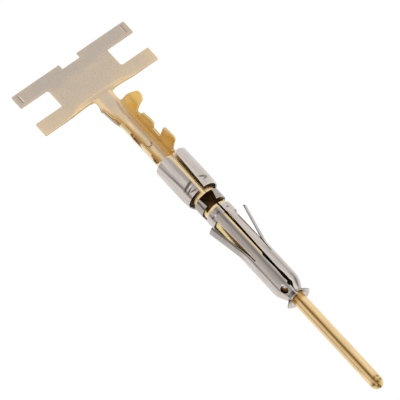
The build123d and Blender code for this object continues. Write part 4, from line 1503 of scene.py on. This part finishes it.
@dataclass
class Studio:
    """Camera, lamps, pale floor and white surroundings.

    Args:
        place: camera place in metres.
        right, down, ahead: the camera's axes.
        lens, sensor: focal length and sensor width in millimetres.
        clip: nearest and farthest distance that the camera sees.
        lamps: name, place, size and power of each lamp.
        target: point that the lamps are turned to.
        dome: strength of the dome for diffuse rays.
        surroundings, board: colours that the eye and the metal see.
        floor_reach, floor_glow: half width of the floor, and its strength for the eye.
    """

    place: tuple[float, float, float] = (0.07232, -0.06881, 0.19631)
    right: tuple[float, float, float] = (0.63131, 0.77553, 0.00304)
    down: tuple[float, float, float] = (0.68098, -0.55246, -0.48068)
    ahead: tuple[float, float, float] = (-0.37110, 0.30553, -0.87689)
    lens: float = 275.5
    sensor: float = 36
    clip: tuple[float, float] = (0.005, 10)
    lamps: tuple[tuple[str, tuple[float, float, float], float, float], ...] = (
        ("key_softbox", (0.45, -0.18, 0.51), 0.45, 0.25),
        ("side_softbox", (0.18, 0.62, 0.36), 0.45, 0.16))
    target: tuple[float, float, float] = (-0.009, 0, 0)
    dome: float = 0.8
    surroundings: str = "#f8f7f6"
    board: str = "#858280"
    floor_reach: float = 2.0
    floor_glow: float = 0.975

    def add_camera(self) -> None:
        """Set up the fitted camera."""
        data = bpy.data.cameras.new("camera")
        data.lens = self.lens
        data.sensor_width = self.sensor
        data.clip_start, data.clip_end = self.clip
        camera = bpy.data.objects.new("camera", data)
        axes = Matrix((self.right, -Vector(self.down), -Vector(self.ahead))).transposed()
        camera.matrix_world = Matrix.Translation(self.place) @ axes.to_4x4()
        bpy.context.scene.collection.objects.link(camera)
        bpy.context.scene.camera = camera

    def add_lamps(self) -> None:
        """Hang the soft square lamps, each turned to the middle of the contact."""
        for name, place, size, power in self.lamps:
            data = bpy.data.lights.new(name, "AREA")
            data.shape = "SQUARE"
            data.size = size
            data.energy = power
            lamp = bpy.data.objects.new(name, data)
            lamp.location = place
            way = Vector(self.target) - Vector(place)
            lamp.rotation_euler = way.to_track_quat("-Z", "Y").to_euler()
            bpy.context.scene.collection.objects.link(lamp)

    def white_share(self, tree: bpy.types.NodeTree) -> bpy.types.NodeSocket:
        """Share of 1 for rays that should see the white surroundings: camera, glossy, transmission.

        Args:
            tree: the node tree.

        Returns:
            The output that holds the share.
        """
        path = add_node(tree, "LightPath")
        share = path.outputs["Is Camera Ray"]
        for kind in ("Is Glossy Ray", "Is Transmission Ray"):
            share = add_node(tree, "Math", {"operation": "MAXIMUM"}, in0=share,
                             in1=path.outputs[kind]).outputs[0]
        return share

    def add_world(self) -> None:
        """Surroundings that eye and metal see, white but for a grey board; diffuse rays get a dome."""
        world = bpy.data.worlds.new("surroundings")
        world.use_nodes = True
        tree = world.node_tree
        tree.nodes.clear()
        node = partial(add_node, tree)
        dome = node("Background", Color=linear("#ffffff"), Strength=self.dome)
        way = node("SeparateXYZ", Vector=node("TexCoord").outputs["Generated"]).outputs
        # A grey board low on the -Y side draws a thin dark line along the near flank of sleeve and
        # pin, and shades the inside of the far insulation wing.
        stops = ((0.0, "#000000"), (0.02, "#ffffff"), (0.10, "#f0f0f0"), (0.2, "#000000"))
        band = node("ValToRGB", {"stops": tuple((place, linear(code)) for place, code in stops)},
                    Fac=way["Z"]).outputs[0]
        near_side = node("MapRange", Value=way["Y"], From_Min=-0.3, From_Max=-0.75).outputs[0]
        share = node("Math", {"operation": "MULTIPLY"}, in0=band, in1=near_side).outputs[0]
        sweep = node("Mix", {"data_type": "RGBA"}, in0=share, in6=linear(self.surroundings),
                     in7=linear(self.board)).outputs[2]
        white = node("Background", Color=sweep, Strength=1.0)
        mix = node("MixShader", in0=self.white_share(tree), in1=dome.outputs[0], in2=white.outputs[0])
        node("OutputWorld", Surface=mix.outputs[0])
        bpy.context.scene.world = world

    def add_floor(self, level: float) -> None:
        """Lay the pale floor just under the part.

        Args:
            level: height of the part's lowest point, in metres.
        """
        reach = self.floor_reach
        mesh = bpy.data.meshes.new("floor")
        corners = [(x * reach, y * reach, level) for x, y in ((-1, -1), (1, -1), (1, 1), (-1, 1))]
        mesh.from_pydata(corners, [], [(0, 1, 2, 3)])
        material, tree = new_material("studio_paper_matt_white")
        node = partial(add_node, tree)
        # Light reaches the part from paper, and the eye sees the same paper burnt out to white.
        paper = node("BsdfDiffuse", Color=linear("#f4f4f4"))
        glow = node("Emission", Color=linear("#ffffff"), Strength=self.floor_glow)
        faint = node("BsdfDiffuse", Color=linear("#404040"))
        white = node("AddShader", in0=glow.outputs[0], in1=faint.outputs[0])
        mix = node("MixShader", in0=self.white_share(tree), in1=paper.outputs[0], in2=white.outputs[0])
        node("OutputMaterial", Surface=mix.outputs[0])
        mesh.materials.append(material)
        floor = bpy.data.objects.new("floor", mesh)
        bpy.context.scene.collection.objects.link(floor)
        floor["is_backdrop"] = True

    def build(self, level: float) -> None:
        """Set up the whole studio over a floor at this level.

        Args:
            level: height of the part's lowest point, in metres.
        """
        bpy.context.scene.view_settings.view_transform = "Standard"
        self.add_camera()
        self.add_lamps()
        self.add_world()
        self.add_floor(level)


def triangles(piece: bpy.types.Object) -> int:
    """Count the triangles of a piece: its face corners, less two for each face."""
    return len(piece.data.loops) - 2 * len(piece.data.polygons)


def main() -> None:
    """Build the contact, its sleeve and the studio."""
    logging.basicConfig(level=logging.INFO, format="%(message)s")
    cad_box = [list(corner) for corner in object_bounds()]
    contact = StampedContact()
    body = contact.build()
    contact.dress(body, GoldPlate())
    log.info("contact: %d triangles", triangles(body))
    sleeve = RetentionSleeve()
    shell = sleeve.build()
    sleeve.dress(shell, SatinStainless())
    log.info("sleeve: %d triangles", triangles(shell))
    Studio().build(cad_box[0][2] - FLOOR_GAP * MM)
    log.info("studio is set")


if __name__ == "__main__":
    main()
